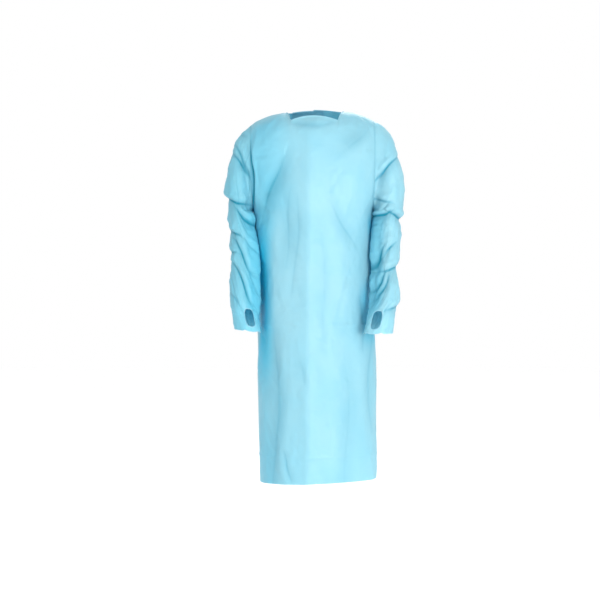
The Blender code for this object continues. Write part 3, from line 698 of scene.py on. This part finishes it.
front_move = fold_shape(FRONT_FOLDS, front_x, front_z)
front_move += fold_shape(small_creases(*FRONT_CREASES), cut_across, -cut_down)
front_move += crumple(front_grid, FRONT_WAVES)
centre_fade = ramp(from_top, *CREASE_FADE)
front_move += ridge(front_x - crease_x, CREASE_DEPTH, CREASE_REACH) * centre_fade
neck_share = np.clip(1.0 - (front_x / NECK_TROUGH_HALF_WIDTH) ** 2, 0.0, 1.0)
from_trough = front_z - NECK_TROUGH_Z + NECK_TROUGH_DIP * neck_share
neck_trough = np.exp(-((from_trough / NECK_TROUGH_REACH) ** 2)) * np.sqrt(neck_share)
front_move -= NECK_TROUGH_DEPTH * neck_trough
front_move += packing_folds(front_z)
front_move *= ramp(from_side, 0.0, EDGE_FADE) * ramp(from_top, 0.0, EDGE_FADE)
front_move += at_neck * NECK_ROLL * np.exp(-((from_top / NECK_ROLL_REACH) ** 2))
to_seam = np.where(at_neck, from_side, np.minimum(from_side, from_top))
front_sheet = front_grid + outward(front_grid) * front_move[:, :, None]
front_limit = seam_depth(front_z) - SEAM_GAP / 2.0
front_sheet[:, :, 1] = np.minimum(front_sheet[:, :, 1], front_limit)

# Painted shade in the folds and in the crescent below the neckline
front_fold_shade = fold_shade(FRONT_FOLDS, front_x, front_z)
front_fold_shade = np.clip(front_fold_shade + NECK_SHADE * neck_trough, 0.0, 1.0)
# Painted shade on the chest's right side and beside the sleeves
chest_shade_mask = (1.0 - ramp(front_x, *CHEST_SHADE_X)) * ramp(front_z, *CHEST_SHADE_Z)
painted_side_shade = CHEST_SHADE * chest_shade_mask * ramp(from_top, *CHEST_SHADE_FROM_TOP)
painted_side_shade += side_shade_at(SHADE_BY_RIGHT_SLEEVE, from_right, front_z)
painted_side_shade += side_shade_at(SHADE_BY_LEFT_ELBOW, from_left, front_z)
painted_side_shade += side_shade_at(SHADE_BY_LEFT_CUFF, from_left, front_z)
painted_side_shade = np.clip(painted_side_shade, 0.0, 1.0)

front = film_piece(
    "front_film",
    front_sheet,
    {
        "seam": to_seam,
        "rim": np.where(at_neck, np.minimum(from_top, from_hem), from_hem),
        "fold": front_fold_shade,
        "painted_side_shade": painted_side_shade,
    },
    centre=front_centre,
)
dress(front, "front", film_material("front_film", FRONT_SEED))

# Back panels
# Two panels of the same film, open down the centre back, where the left one laps
# over the right one. Each is heat sealed to the front along its side and its
# shoulder.

BACK_FOLDS = in_metres(Fold, 7, (
    (-120, -160, -50, -400, 8, 30, 18, 0.4),
    (125, -150, 60, -400, 8, 18, 30, 0.4),
    (-60, -470, -105, -820, 8, 22, 22, 0.3),
    (50, -470, 115, -850, 8, 22, 22, 0.3),
    (-135, -480, -140, -1200, 7, 24, 24, 0.3),
    (145, -520, 150, -1200, 7, 24, 24, 0.3),
    (-20, -620, -40, -1200, 6, 26, 26, 0.3),
    (70, -800, 72, -1200, 6, 22, 22, 0.3),
    (-152, -290, -143, -415, 4.5, 9, 13, 0.5),
    (-102, -345, -90, -415, 3.5, 8, 10, 0.6),
    (26, -320, 12, -415, 3.5, 10, 8, 0.6),
    (112, -310, 96, -415, 4.5, 12, 9, 0.5),
    (162, -350, 152, -415, 3.5, 10, 8, 0.6),
    (-162, -446, -156, -600, 4, 10, 13, 0.5),
    (-78, -446, -70, -560, 4.5, 9, 11, 0.6),
    (-40, -446, -46, -530, 3, 8, 8, 0.7),
    (22, -446, 30, -580, 4.5, 10, 12, 0.6),
    (84, -446, 92, -530, 3, 8, 9, 0.7),
    (128, -446, 136, -610, 4.5, 10, 13, 0.5),
))
BACK_CREASES = small_creases(*Creases(
    22, 120, 0.39, 1.16, (2.0, 36.0), (0.03, 0.18), (0.0004, 0.0020), (0.004, 0.013)
))
BACK_WAVES = (Waves(0.0020, 0.085, 2.6, 11.0), Waves(0.0006, 0.034, 1.6, 5.0))
BACK_SHADE = 0.5
LAP_REACH = 0.050
LAP_SINK = 0.0022
LAP_CELLS = 10
LAP_FADE_CELLS = 6.0
NAPE_CELLS = 8
BACK_SEED = {RIGHT: 1.0, LEFT: 3.0}


def back_move(grid):
    """How far the back's folds and crumples move its points outwards."""
    x, z = grid[:, :, 0], grid[:, :, 2]
    move = fold_shape(BACK_FOLDS, x, z) + fold_shape(BACK_CREASES, x + SHOULDER_TIP_X[RIGHT], z)
    return move + packing_folds(z) + crumple(grid, BACK_WAVES)


def back_columns(side):
    """One half's columns, from the centre line to its side seam."""
    centre = body_section(0.0).crease_x
    return columns_through(
        side,
        False,
        [
            (centre + side * LAP_REACH, LAP_CELLS),
            (side * NECK_X[side], NAPE_CELLS),
            (side * SHOULDER_TIP_X[side], SHOULDER_CELLS),
        ],
    )


for side, name in ((RIGHT, "back_right"), (LEFT, "back_left")):
    lapped = back_columns(-side)[LAP_CELLS:0:-1]
    grid = [column_points(-side, column, False) for column in lapped]
    grid += [column_points(side, column, False) for column in back_columns(side)]
    if side == LEFT:
        grid.reverse()
    grid = np.array(grid).transpose(1, 0, 2)
    down = lengths_along(grid, 0)
    across = lengths_along(grid, 1)
    to_side = across if side == LEFT else across[:, -1:] - across
    to_opening = across[:, -1:] - across if side == LEFT else across
    move = back_move(grid) * ramp(to_side, 0.0, EDGE_FADE) * ramp(down, 0.0, EDGE_FADE)
    count = np.arange(grid.shape[1])
    past_lap = (grid.shape[1] - 1 - count if side == LEFT else count) - 2 * LAP_CELLS
    if side == RIGHT:
        move -= LAP_SINK * (1.0 - ramp(past_lap, 0.0, LAP_FADE_CELLS))[None, :]
    at_nape = np.broadcast_to(past_lap <= NAPE_CELLS, move.shape)
    to_seam = np.where(at_nape, to_side, np.minimum(to_side, down))
    sheet = grid + outward(grid) * move[:, :, None]
    sheet[:, :, 1] = np.maximum(sheet[:, :, 1], seam_depth(grid[:, :, 2]) + SEAM_GAP / 2.0)
    edge = np.minimum(down[-1:] - down, to_opening)
    piece = film_piece(
        name + "_film",
        sheet,
        {
            "seam": to_seam,
            "rim": np.where(at_nape, np.minimum(edge, down), edge),
            # Painted shade in the back's folds
            "fold": BACK_SHADE * fold_shade(BACK_FOLDS, grid[:, :, 0], grid[:, :, 2]),
        },
        centre=(ARMHOLE_ROWS, LAP_CELLS if side == RIGHT else grid.shape[1] - 1 - LAP_CELLS),
    )
    dress(piece, name, film_material(name + "_film", BACK_SEED[side]))

# Sleeves
# Two straight tubes of film, each heat sealed round its armhole, pushed up into
# creased folds because they are cut long. Near the cuff a slot is cut through the
# film, and the strip of film below it is the thumb loop.

# The sleeves' rings from the armhole to the cuff, in millimetres

SleeveRow = namedtuple("SleeveRow", "outer_x outer_z inner_x inner_z middle_y half_depth")
SLEEVE = {
    RIGHT: (
        (210, -53, 190.5, -318, 8, 71),
        (236.6, -80, 191.5, -326, 4, 74),
        (256.7, -120, 191.5, -334, 0, 75),
        (269, -185, 191, -344, -6, 74),
        (277, -248, 190, -362, -12, 72),
        (268, -305, 187, -388, -18, 70),
        (264, -370, 180, -424, -23, 68),
        (264, -425, 176, -456, -30, 66),
        (261.5, -500, 178, -514, -42, 62),
        (260, -580, 178, -585, -57, 57),
        (253, -632, 170, -638, -69, 53),
        (245, -678, 162.5, -688, -78, 50),
    ),
    LEFT: (
        (212, -37, 190.5, -318, 8, 71),
        (243.2, -70, 191.5, -326, 4, 74),
        (265.2, -114, 191.5, -334, 0, 75),
        (280, -182, 191.5, -344, -6, 74),
        (287, -248, 191.5, -362, -12, 72),
        (280, -308, 191, -390, -18, 70),
        (277, -376, 190.5, -428, -23, 68),
        (272, -430, 191, -458, -32, 66),
        (265, -500, 190.5, -516, -50, 62),
        (270, -572, 187, -580, -73, 58),
        (256, -628, 172, -634, -92, 54),
        (247, -690, 155, -692, -106, 50),
    ),
}
SLEEVE_FRONT_FOLDS = {
    RIGHT: (
        (-246, -100, -200, -190, 6, 6, 18),
        (-255, -126, -194, -207, 7, 6, 20),
        (-300, -268, -200, -292, 12, 8, 30),
        (-240, -304, -186, -362, 8, 6, 22),
        (-290, -360, -224, -390, 8, 7, 24),
        (-285, -436, -240, -440, 5, 7, 20),
        (-246, -400, -190, -505, 8, 6, 20),
        (-252, -468, -184, -605, 8, 6, 22),
        (-262, -560, -230, -600, 3, 6, 16),
    ),
    LEFT: (
        (268, -137, 192, -214, 8, 6, 20),
        (186, -272, 243, -284, 5, 5, 16),
        (186, -330, 239, -312, 9, 6, 18),
        (236, -312, 300, -348, 9, 7, 22),
        (190, -330, 184, -396, 6, 8, 14),
        (256, -408, 218, -446, 6, 6, 18),
        (216, -424, 188, -500, 8, 6, 18),
        (290, -478, 206, -499, 8, 8, 26),
        (221, -500, 188, -568, 7, 6, 16),
        (240, -510, 190, -590, 7, 6, 18),
        (290, -600, 225, -618, 6, 8, 22),
    ),
}
SLEEVE_BACK_FOLDS = {
    RIGHT: (
        (-246, -110, -200, -205, 8, 7, 22),
        (-290, -270, -200, -250, 9, 8, 26),
        (-290, -360, -196, -330, 9, 8, 26),
        (-270, -438, -190, -410, 8, 8, 24),
        (-255, -470, -186, -560, 8, 7, 22),
    ),
    LEFT: (
        (256, -104, 200, -205, 8, 7, 22),
        (296, -346, 200, -300, 9, 8, 26),
        (270, -400, 196, -380, 7, 7, 22),
        (285, -482, 192, -440, 9, 8, 26),
        (250, -540, 190, -600, 8, 7, 20),
    ),
}
SLEEVE_CREASES = Creases(
    31, 70, 0.42, 0.66, (20.0, 70.0), (0.025, 0.085), (0.0004, 0.0022), (0.003, 0.010)
)
SLEEVE_WAVES = (Waves(0.0014, 0.060, 1.0, 4.0), Waves(0.0006, 0.024, 1.0, 9.0))
FOLDS_MEET = (-0.5, 0.25)
ARMHOLE_FADE = (0.0, 0.03)
ARMHOLE_HELD = 0.001
CUFF_FADE = (-0.012, 0.04)
SLEEVE_CELLS = 2 * ARMHOLE_ROWS
RING_STEP = 0.004
SLEEVE_BLEND_ROWS = 2.6
BODY_CLEARANCE = 0.0016
BODY_PULL = 0.014
BODY_NEAR = (0.018, 0.050)
PULL_INSIDE = (0.0, 0.6)
PULL_TOP = (0.305, 0.318)
PULL_FOOT = (0.58, 0.66)
# Painted shade on each sleeve's inner side, beside the gown
SLEEVE_SIDE_SHADE = 0.34
SIDE_SHADE_INSIDE = (0.1, 0.8)
SIDE_SHADE_TOP = (0.28, 0.34)
SIDE_SHADE_FOOT = (0.60, 0.68)
CUFF_ROWS = 7
SLOT_FROM_CUFF = 0.017
SLOT_LENGTH = 0.058
SLOT_FIRST_CELL = SLEEVE_CELLS // 4
SLOT_CELLS = SLEEVE_CELLS // 8
SLOT_CELL_SIZE = 0.0025
SLOT_SPREAD = 0.9
SLOT_POWER = 2.8
SLEEVE_SEED = {RIGHT: 4.0, LEFT: 6.0}
# The right sleeve's colours are darker copies of the film's: painted shade, on the side away from the
# key light
SLEEVE_PALE_RIGHT_SHADED = {RIGHT: (0.330, 0.700, 0.800, 1.0), LEFT: FILM_PALE}
SLEEVE_TINT_RIGHT_SHADED = {RIGHT: (0.215, 0.640, 0.775, 1.0), LEFT: FILM_TINT}


def body_reach(side, y, z):
    """How far from the centre line the gown's side stands at a depth y."""
    section = body_section(z)
    face_y, power = half_of(section, y < section.seam_y)
    share = min(1.0, (y - section.seam_y) / (face_y - section.seam_y))
    across = (1.0 - share**power) ** (1.0 / power)
    return abs(section.crease_x + across * (side_edge(section, side) - section.crease_x))


def armhole_loop(side):
    """The armhole's edge as the sleeve's first ring: tip, front, underarm, back."""
    edges = []
    for front_half in (True, False):
        tip = [(side * SHOULDER_TIP_X[side], 1)]
        points = column_points(side, columns_through(side, front_half, tip)[-1], front_half)
        edges.append(points[: ARMHOLE_ROWS + 1])
    return np.array(edges[0] + edges[1][-2:0:-1])


def sleeve_grid(side):
    """The sleeve's rings, from the armhole to the cuff, as rows."""
    loop = armhole_loop(side)
    half_turn = SLEEVE_CELLS // 2
    tip, under = loop[0], loop[half_turn]
    middle_y = (loop[half_turn // 2][1] + loop[-half_turn // 2][1]) / 2.0
    half_depth = (loop[-half_turn // 2][1] - loop[half_turn // 2][1]) / 2.0
    first = SleeveRow(abs(tip[0]), tip[2], abs(under[0]), under[2], middle_y, half_depth)
    table = [first, *in_metres(SleeveRow, 6, SLEEVE[side])]
    places = [0.0]
    for index, (a, b) in enumerate(zip(table, table[1:])):
        length = math.hypot(a.outer_x - b.outer_x, a.outer_z - b.outer_z)
        steps = max(1, round(length / RING_STEP))
        places += [index + (step + 1) / steps for step in range(steps)]
    turn = 2.0 * math.pi * np.arange(SLEEVE_CELLS) / SLEEVE_CELLS
    share = (1.0 + np.cos(turn)) / 2.0
    bare_x = np.abs(loop[:, 0]) - first.inner_x - (first.outer_x - first.inner_x) * share
    bare_z = loop[:, 2] - first.inner_z - (first.outer_z - first.inner_z) * share
    rings = []
    for place in places:
        row = smooth_between(table, range(len(table)), place)
        away = ramp(place, 0.0, SLEEVE_BLEND_ROWS)
        x = row.inner_x + (row.outer_x - row.inner_x) * share + bare_x * (1.0 - away)
        z = row.inner_z + (row.outer_z - row.inner_z) * share + bare_z * (1.0 - away)
        y = (row.middle_y - row.half_depth * np.sin(turn)) * away + loop[:, 1] * (1.0 - away)
        rings.append(np.stack([side * (x + SEAM_GAP), y, z], axis=1))
    return np.array(rings)


def read_between(values, row, column):
    """A grid's value between its own points."""
    low_row = np.clip(np.floor(row).astype(int), 0, values.shape[0] - 2)
    low_column = np.floor(column).astype(int)
    down, across = (row - low_row)[..., None], (column - low_column)[..., None]
    next_column = (low_column + 1) % values.shape[1]
    upper = values[low_row, low_column] * (1 - across) + values[low_row, next_column] * across
    lower = values[low_row + 1, low_column] * (1 - across)
    lower = lower + values[low_row + 1, next_column] * across
    return upper * (1 - down) + lower * down


def with_slot(grid, first_column):
    """Bends the grid's lines round a rounded slot.

    Returns the grid, the cells to cut, and each point's distance from the edge.
    """
    by_cuff = grid[-CUFF_ROWS - 1 :]
    step = np.linalg.norm(by_cuff[:-1] - by_cuff[1:], axis=2).mean()
    last = grid.shape[0] - 1 - round(SLOT_FROM_CUFF / step)
    first = last - round(SLOT_LENGTH / step)
    half_rows, half_columns = (last - first) / 2.0, SLOT_CELLS / 2.0
    middle_row, middle_column = first + half_rows, first_column + half_columns
    rows, columns = np.meshgrid(
        np.arange(grid.shape[0], dtype=float), np.arange(grid.shape[1], dtype=float),
        indexing="ij",
    )
    down = (rows - middle_row) / half_rows
    across = (columns - middle_column) / half_columns
    square = np.maximum(np.abs(down), np.abs(across))
    rounded = (np.abs(down) ** SLOT_POWER + np.abs(across) ** SLOT_POWER) ** (1.0 / SLOT_POWER)
    pull = np.clip(1.0 + SLOT_SPREAD - square, 0.0, SLOT_SPREAD) / SLOT_SPREAD
    pull = np.where(square >= 1.0 - 1e-6, pull, 0.0)
    shrink = 1.0 + (square / np.maximum(rounded, 1e-9) - 1.0) * pull
    new_row = middle_row + down * shrink * half_rows
    new_column = middle_column + across * shrink * half_columns
    bent = read_between(grid, new_row, new_column % grid.shape[1])
    cells = [
        (row, column)
        for row in range(first, last)
        for column in range(first_column, first_column + SLOT_CELLS)
    ]
    return bent, cells, np.abs(square - 1.0) * half_columns * SLOT_CELL_SIZE


for side, name in ((RIGHT, "sleeve_right"), (LEFT, "sleeve_left")):
    grid = sleeve_grid(side)
    first_column = SLOT_FIRST_CELL
    turn = 2.0 * math.pi * np.arange(SLEEVE_CELLS) / SLEEVE_CELLS
    if side == LEFT:
        grid = np.concatenate([grid[:, :1], grid[:, :0:-1]], axis=1)
        first_column = SLEEVE_CELLS - SLOT_FIRST_CELL - SLOT_CELLS
        turn = -turn
    grid, slot_cells, from_slot = with_slot(grid, first_column)
    frontness = np.broadcast_to(np.sin(turn), grid.shape[:2])
    down = lengths_along(grid, 0)
    up = down[-1:] - down
    around = lengths_along(grid, 1)
    girth = around[:, -1:]
    x, z = grid[:, :, 0], grid[:, :, 2]
    creases = small_creases(*SLEEVE_CREASES._replace(seed=SLEEVE_CREASES.seed + side))
    move = crumple(grid, SLEEVE_WAVES, side)
    # Painted shade along the sleeves' folds and creases
    shade = fold_shade(creases, around, -down)
    for folds, facing in ((SLEEVE_FRONT_FOLDS, frontness), (SLEEVE_BACK_FOLDS, -frontness)):
        folds = in_metres(Fold, 7, folds[side])
        share = ramp(facing, *FOLDS_MEET)
        move += share * fold_shape(folds, x, z)
        shade += share * fold_shade(folds, x, z)
    shade = np.clip(shade, 0.0, 1.0)
    for wrap in (-girth, 0.0, girth):
        move += fold_shape(creases, around + wrap, -down)
    move *= ramp(down, *ARMHOLE_FADE) * ramp(up, *CUFF_FADE)
    sheet = grid + outward(grid, closed=True) * move[:, :, None]
    for row, column in np.argwhere((sheet[:, :, 2] < UNDERARM_Z) & (down > ARMHOLE_HELD)):
        px, py, pz = sheet[row, column]
        reach = body_reach(side, py, pz) + BODY_CLEARANCE
        gap = max(0.0, abs(px) - reach)
        pull = min(gap, BODY_PULL) * (1.0 - ramp(gap, *BODY_NEAR))
        pull *= ramp(-math.cos(turn[column]), *PULL_INSIDE) * ramp(-pz, *PULL_TOP)
        sheet[row, column, 0] = side * (reach + gap - pull * (1.0 - ramp(-pz, *PULL_FOOT)))
    # Painted shade on the sleeve's inner side, beside the gown
    painted_side_shade = ramp(-np.cos(turn), *SIDE_SHADE_INSIDE)[None, :] * ramp(-z, *SIDE_SHADE_TOP)
    painted_side_shade *= SLEEVE_SIDE_SHADE * (1.0 - ramp(-z, *SIDE_SHADE_FOOT))
    piece = film_piece(
        name + "_film",
        sheet,
        {"seam": down, "rim": np.minimum(up, from_slot), "fold": shade, "painted_side_shade": painted_side_shade},
        closed=True,
        cut=slot_cells,
    )
    film = film_material(name + "_film", SLEEVE_SEED[side], SLEEVE_PALE_RIGHT_SHADED[side], SLEEVE_TINT_RIGHT_SHADED[side])
    dress(piece, name, film)

# Waist tie
# Two ribbons of film, sealed to the side seams, drawn round over the back panels
# and tied behind in a flat knot. Their free ends hang down from it. The film is
# gathered lengthwise, most of all where the knot draws it together.

TIE_Z = -0.430
TIE_WIDTH = 0.022
TIE_FILM_THICKNESS = 0.0008
TIE_LIFT = 0.0036
TIE_KNOT_LIFT = 0.0030
TIE_SAG = 0.006
TIE_GATHER = 0.35
TIE_START_DEG = 84.0
TIE_TURNS = 6.0
TIE_CELLS = 90
RIBBON_CELLS = 12
RIBBON_PLEATS = 2.5
RIBBON_PLEAT_DEPTH = 0.0007
RIBBON_SLACK = 0.6
RIBBON_WANDER = ((0.6, 5.0, 0.0), (0.4, 13.0, 1.0))
KNOT_WIDTH = 0.026
KNOT_HEIGHT = 0.024
KNOT_DEPTH = 0.012
KNOT_PINCH = 0.18
KNOT_GAP = 0.0003
KNOT_LIFT = 0.0024
KNOT_SEGMENTS = 56
KNOT_RINGS = 36
KNOT_PLEATS = 9
KNOT_PLEAT_DEPTH = 0.05
KNOT_PLEAT_RISE = 3.0
KNOT_SWIRL = 9.0
KNOT_LOBES = 4.0
KNOT_DIMPLE = 0.16
KNOT_DIMPLE_REACH = 0.12
KNOT_PUFF = 0.08
KNOT_PLEAT_SHADE = 0.8
KNOT_DIMPLE_SHADE = 3.0
RIBBON_SHADE = 0.45
TAIL_LENGTH = {RIGHT: 0.190, LEFT: 0.165}
TAIL_SPREAD_DEG = {RIGHT: 16.0, LEFT: 12.0}
TAIL_START_X = 0.0005
TAIL_LIFT = 0.0071
TAIL_GATHER = 0.5
TAIL_CURL = 0.35
TAIL_ROWS = 70
TAIL_TURNS = 5.0
SLOPE_STEP = 0.003
TIE_SEED = {RIGHT: 11.0, LEFT: 13.0}
KNOT_SEED = 21.0
TIE_CUT = {RIGHT: (0.022, 0.19), LEFT: (0.022, 0.23)}
TAIL_CUT = {RIGHT: (0.022, 0.19), LEFT: (0.022, 0.165)}
TIE_PALE = (0.300, 0.660, 0.790, 1.0)
TIE_TINT = (0.200, 0.580, 0.750, 1.0)

# By share of a ribbon's length: where its gathers, its rise and its pleats change

TIE_GATHERED = (0.8, 1.0)
TIE_RISING = (0.75, 1.0)
TIE_PLEATED = (0.5, 1.0)
TAIL_GATHERED = (0.0, 0.3)
TAIL_PLEATED = (0.0, 0.5)


def bare_back(x, z):
    """The back's outer surface at x and z, before its folds."""
    section = body_section(z)
    side = RIGHT if x < section.crease_x else LEFT
    angle = angle_of(section, side, x, section.back_power)
    return np.array(section_point(side, angle, z, back_roof(x), False))


def over_back(x, z, lift):
    """Points over the back panels, folds included, lifted off them."""

    def bare(x, z):
        places = [bare_back(*place) for place in zip(x.ravel(), z.ravel())]
        return np.array(places).reshape(*x.shape, 3)

    here = bare(x, z)
    across = bare(x + SLOPE_STEP, z) - bare(x - SLOPE_STEP, z)
    down = bare(x, z - SLOPE_STEP) - bare(x, z + SLOPE_STEP)
    normals = np.cross(down, across)
    normals *= np.sign(normals[..., 1:2]) / np.linalg.norm(normals, axis=-1, keepdims=True)
    return here + normals * (back_move(here) + lift)[..., None]


def ribbon_pleats(across, along, drawn):
    """Height of a ribbon's lengthwise pleats, deeper where it is drawn together."""
    wander = sum(size * np.sin(turns * along + start) for size, turns, start in RIBBON_WANDER)
    waves = np.cos(math.pi * RIBBON_PLEATS * across + wander)
    return RIBBON_PLEAT_DEPTH * (RIBBON_SLACK + drawn) * waves


tie_section = body_section(TIE_Z)
tie_centre = tie_section.crease_x
knot_edge = KNOT_WIDTH / 2.0 + KNOT_GAP
ribbons = []
for side, name in ((RIGHT, "waist_tie_right"), (LEFT, "waist_tie_left")):
    edge = abs(side_edge(tie_section, side) - tie_centre)
    up = np.linspace(1.0, -1.0, RIBBON_CELLS + 1)[:, None]
    share = np.linspace(0.0, 1.0, TIE_CELLS + 1)[None, ::side]
    angle = math.radians(TIE_START_DEG) * (1.0 - share)
    reach = knot_edge + (edge - knot_edge) * np.sin(angle) ** (2.0 / tie_section.back_power)
    half = TIE_WIDTH / 2.0 * (1.0 - TIE_GATHER * ramp(share, *TIE_GATHERED))
    lift = TIE_LIFT + TIE_KNOT_LIFT * ramp(share, *TIE_RISING)
    pleats = ribbon_pleats(up, TIE_TURNS * share + side, ramp(share, *TIE_PLEATED))
    z = TIE_Z - TIE_SAG * np.sin(math.pi * share) + half * up
    grid = over_back(tie_centre + side * reach + 0.0 * z, z, lift + pleats)
    beyond = np.maximum(knot_edge, side * (grid[:, :, 0] - tie_centre))
    grid[:, :, 0] = tie_centre + side * beyond
    ribbons.append((name, side, grid, to_edges(grid, 0), pleats, TIE_CUT[side]))

tail_top = TIE_Z - KNOT_HEIGHT / 2.0 - KNOT_GAP
for side, name in ((RIGHT, "tie_end_right"), (LEFT, "tie_end_left")):
    lean = math.tan(math.radians(TAIL_SPREAD_DEG[side]))
    over = np.linspace(1.0, -1.0, RIBBON_CELLS + 1)[None, :]
    share = np.linspace(0.0, 1.0, TAIL_ROWS + 1)[:, None]
    half = TIE_WIDTH / 2.0 * (1.0 - TAIL_GATHER * (1.0 - ramp(share, *TAIL_GATHERED)))
    middle = TAIL_START_X + half + TAIL_LENGTH[side] * share * lean * (1.0 - TAIL_CURL * share)
    pleats = ribbon_pleats(over, TAIL_TURNS * share + side, 1.0 - ramp(share, *TAIL_PLEATED))
    x = tie_centre + side * middle + over * half
    z = tail_top - TAIL_LENGTH[side] * share + 0.0 * x
    y = over_back(x, z, TAIL_LIFT + pleats)[:, :, 1]
    x = tie_centre + side * np.maximum(SEAM_GAP, side * (x - tie_centre))
    grid = np.stack([x, y, z], axis=2)
    down = lengths_along(grid, 0)
    from_edge = np.minimum(to_edges(grid, 1), down[-1:] - down)
    ribbons.append((name, side, grid, from_edge, pleats, TAIL_CUT[side]))

bpy.ops.object.select_all(action="DESELECT")
bpy.ops.mesh.primitive_uv_sphere_add(segments=KNOT_SEGMENTS, ring_count=KNOT_RINGS, radius=0.5)
knot = bpy.context.object
knot.name = "waist_knot_film"
knot.data.name = "waist_knot_film"
knot_middle = over_back(np.array([[tie_centre]]), np.array([[TIE_Z]]), np.array([[0.0]]))
knot_face = knot_middle[0, 0, 1] + KNOT_LIFT
knot_painted_shade = []
for vertex in knot.data.vertices:
    x, y, z = vertex.co
    turn = math.atan2(z, x)
    spread = math.hypot(x, z)
    swell = 1.0 + KNOT_PINCH * (1.0 + math.cos(KNOT_LOBES * turn))
    pleat = math.cos(KNOT_PLEATS * turn + KNOT_SWIRL * spread) * min(1.0, KNOT_PLEAT_RISE * spread)
    swell *= 1.0 + KNOT_PLEAT_DEPTH * pleat
    dimple = KNOT_DIMPLE * math.exp(-((spread / KNOT_DIMPLE_REACH) ** 2))
    puffed = (y - dimple if y > 0 else y) * (1.0 + KNOT_PUFF * pleat) / (1.0 + KNOT_PUFF)
    vertex.co = (
        tie_centre + max(-0.5, min(0.5, x * swell)) * KNOT_WIDTH,
        knot_face + (0.5 + puffed) * KNOT_DEPTH,
        TIE_Z + max(-0.5, min(0.5, z * swell)) * KNOT_HEIGHT,
    )
    # Painted shade in the knot's pleat valleys and its middle dimple
    knot_painted_shade.append(max(0.0, -pleat) * KNOT_PLEAT_SHADE + dimple * KNOT_DIMPLE_SHADE)
knot.data.uv_layers[0].name = "cut"
far_off = [1.0] * len(knot_painted_shade)
for label, values in (("fold", knot_painted_shade), ("seam", far_off), ("rim", far_off)):
    knot.data.attributes.new(label, "FLOAT", "POINT").data.foreach_set("value", values)
knot.data.shade_smooth()
dress(knot, "waist_knot", film_material("knot_film", KNOT_SEED, TIE_PALE, TIE_TINT))

for name, side, grid, from_edge, pleats, cut in ribbons:
    # Painted shade in the ribbons' pleat valleys
    low = np.clip(-pleats / RIBBON_PLEAT_DEPTH, 0.0, 1.0)
    values = {"seam": np.ones_like(low), "rim": from_edge, "fold": RIBBON_SHADE * low}
    ribbon = film_piece(name + "_film", grid, values, thickness=TIE_FILM_THICKNESS)
    film = film_material(name + "_film", TIE_SEED[side], TIE_PALE, TIE_TINT)
    dress(ribbon, name, film)

# Neck tab
# A short strip of film, bonded double, that joins the two back panels at the
# nape. One end is sealed to the left panel, and the other sticks to the right one.

TAB_OVER_X = 0.018
TAB_PAST_X = 0.088
TAB_TOP_Z = -0.012
TAB_HEIGHT = 0.034
TAB_LIFT = 0.0014
TAB_THICKNESS = 0.0009
TAB_ROWS = 20
TAB_CELLS = 40
TAB_SEED = 31.0
TAB_PALE = (0.430, 0.740, 0.840, 1.0)
TAB_TINT = (0.360, 0.700, 0.820, 1.0)

tab_centre = body_section(0.0).crease_x
tab_x, tab_z = np.meshgrid(
    tab_centre - np.linspace(TAB_OVER_X, TAB_PAST_X, TAB_CELLS + 1),
    np.linspace(TAB_TOP_Z, TAB_TOP_Z - TAB_HEIGHT, TAB_ROWS + 1),
)
tab_grid = over_back(tab_x, tab_z, np.full(tab_x.shape, TAB_LIFT))
tab_across = lengths_along(tab_grid, 1)
tab_edge = np.minimum(to_edges(tab_grid, 0), to_edges(tab_grid, 1))
tab = film_piece(
    "neck_tab_film",
    tab_grid,
    {"seam": tab_across, "rim": tab_edge, "fold": np.zeros_like(tab_edge)},
    thickness=TAB_THICKNESS,
)
dress(tab, "neck_tab", film_material("tab_film", TAB_SEED, TAB_PALE, TAB_TINT))

# Floor, lights and camera
# A pale floor below the hem, a wide soft light from the gown's left, weaker ones
# from its right and from behind, and white all round.

FLOOR_Z = -1.440
FLOOR_SIZE = 24.0
VIEW_CENTRE = Vector((-0.041, 0.0, -0.589))
VIEW_WIDTH = 1.89
VIEW_DISTANCE = 6.6
VIEW_HEIGHT = -0.45
SENSOR = 36.0

bpy.ops.mesh.primitive_plane_add(size=FLOOR_SIZE, location=(0.0, 0.0, FLOOR_Z))
floor = bpy.context.object
floor.name = "floor"
floor_white = bpy.data.materials.new("floor_white")
floor_white.use_nodes = True
floor_shader = floor_white.node_tree.nodes["Principled BSDF"]
floor_shader.inputs["Base Color"].default_value = (1.0, 1.0, 1.0, 1.0)
floor_shader.inputs["Roughness"].default_value = 1.0
floor.data.materials.append(floor_white)

world = bpy.data.worlds.new("studio")
world.use_nodes = True
world.node_tree.nodes["Background"].inputs["Color"].default_value = (1.0, 1.0, 1.0, 1.0)
world.node_tree.nodes["Background"].inputs["Strength"].default_value = 1.0
bpy.context.scene.world = world
bpy.context.scene.view_settings.view_transform = "Standard"


def soft_light(name, place, size, power):
    """A square soft light, turned towards the gown's middle."""
    light = bpy.data.lights.new(name, "AREA")
    light.size = size
    light.energy = power
    lamp = bpy.data.objects.new(name, light)
    lamp.location = place
    lamp.rotation_euler = (VIEW_CENTRE - Vector(place)).to_track_quat("-Z", "Y").to_euler()
    bpy.context.scene.collection.objects.link(lamp)


soft_light("key", place=(2.1, -4.0, -0.5), size=1.8, power=128.0)
soft_light("fill", place=(-2.8, -3.0, 0.4), size=2.5, power=16.0)
soft_light("behind", place=(0.8, 3.4, 2.2), size=1.8, power=80.0)

camera = bpy.data.cameras.new("photo_view")
camera.sensor_width = SENSOR
camera.lens = SENSOR * VIEW_DISTANCE / VIEW_WIDTH
view = bpy.data.objects.new("photo_view", camera)
view.location = (VIEW_CENTRE.x, -VIEW_DISTANCE, VIEW_HEIGHT)
view.rotation_euler = (VIEW_CENTRE - view.location).to_track_quat("-Z", "Y").to_euler()
bpy.context.scene.collection.objects.link(view)
bpy.context.scene.camera = view
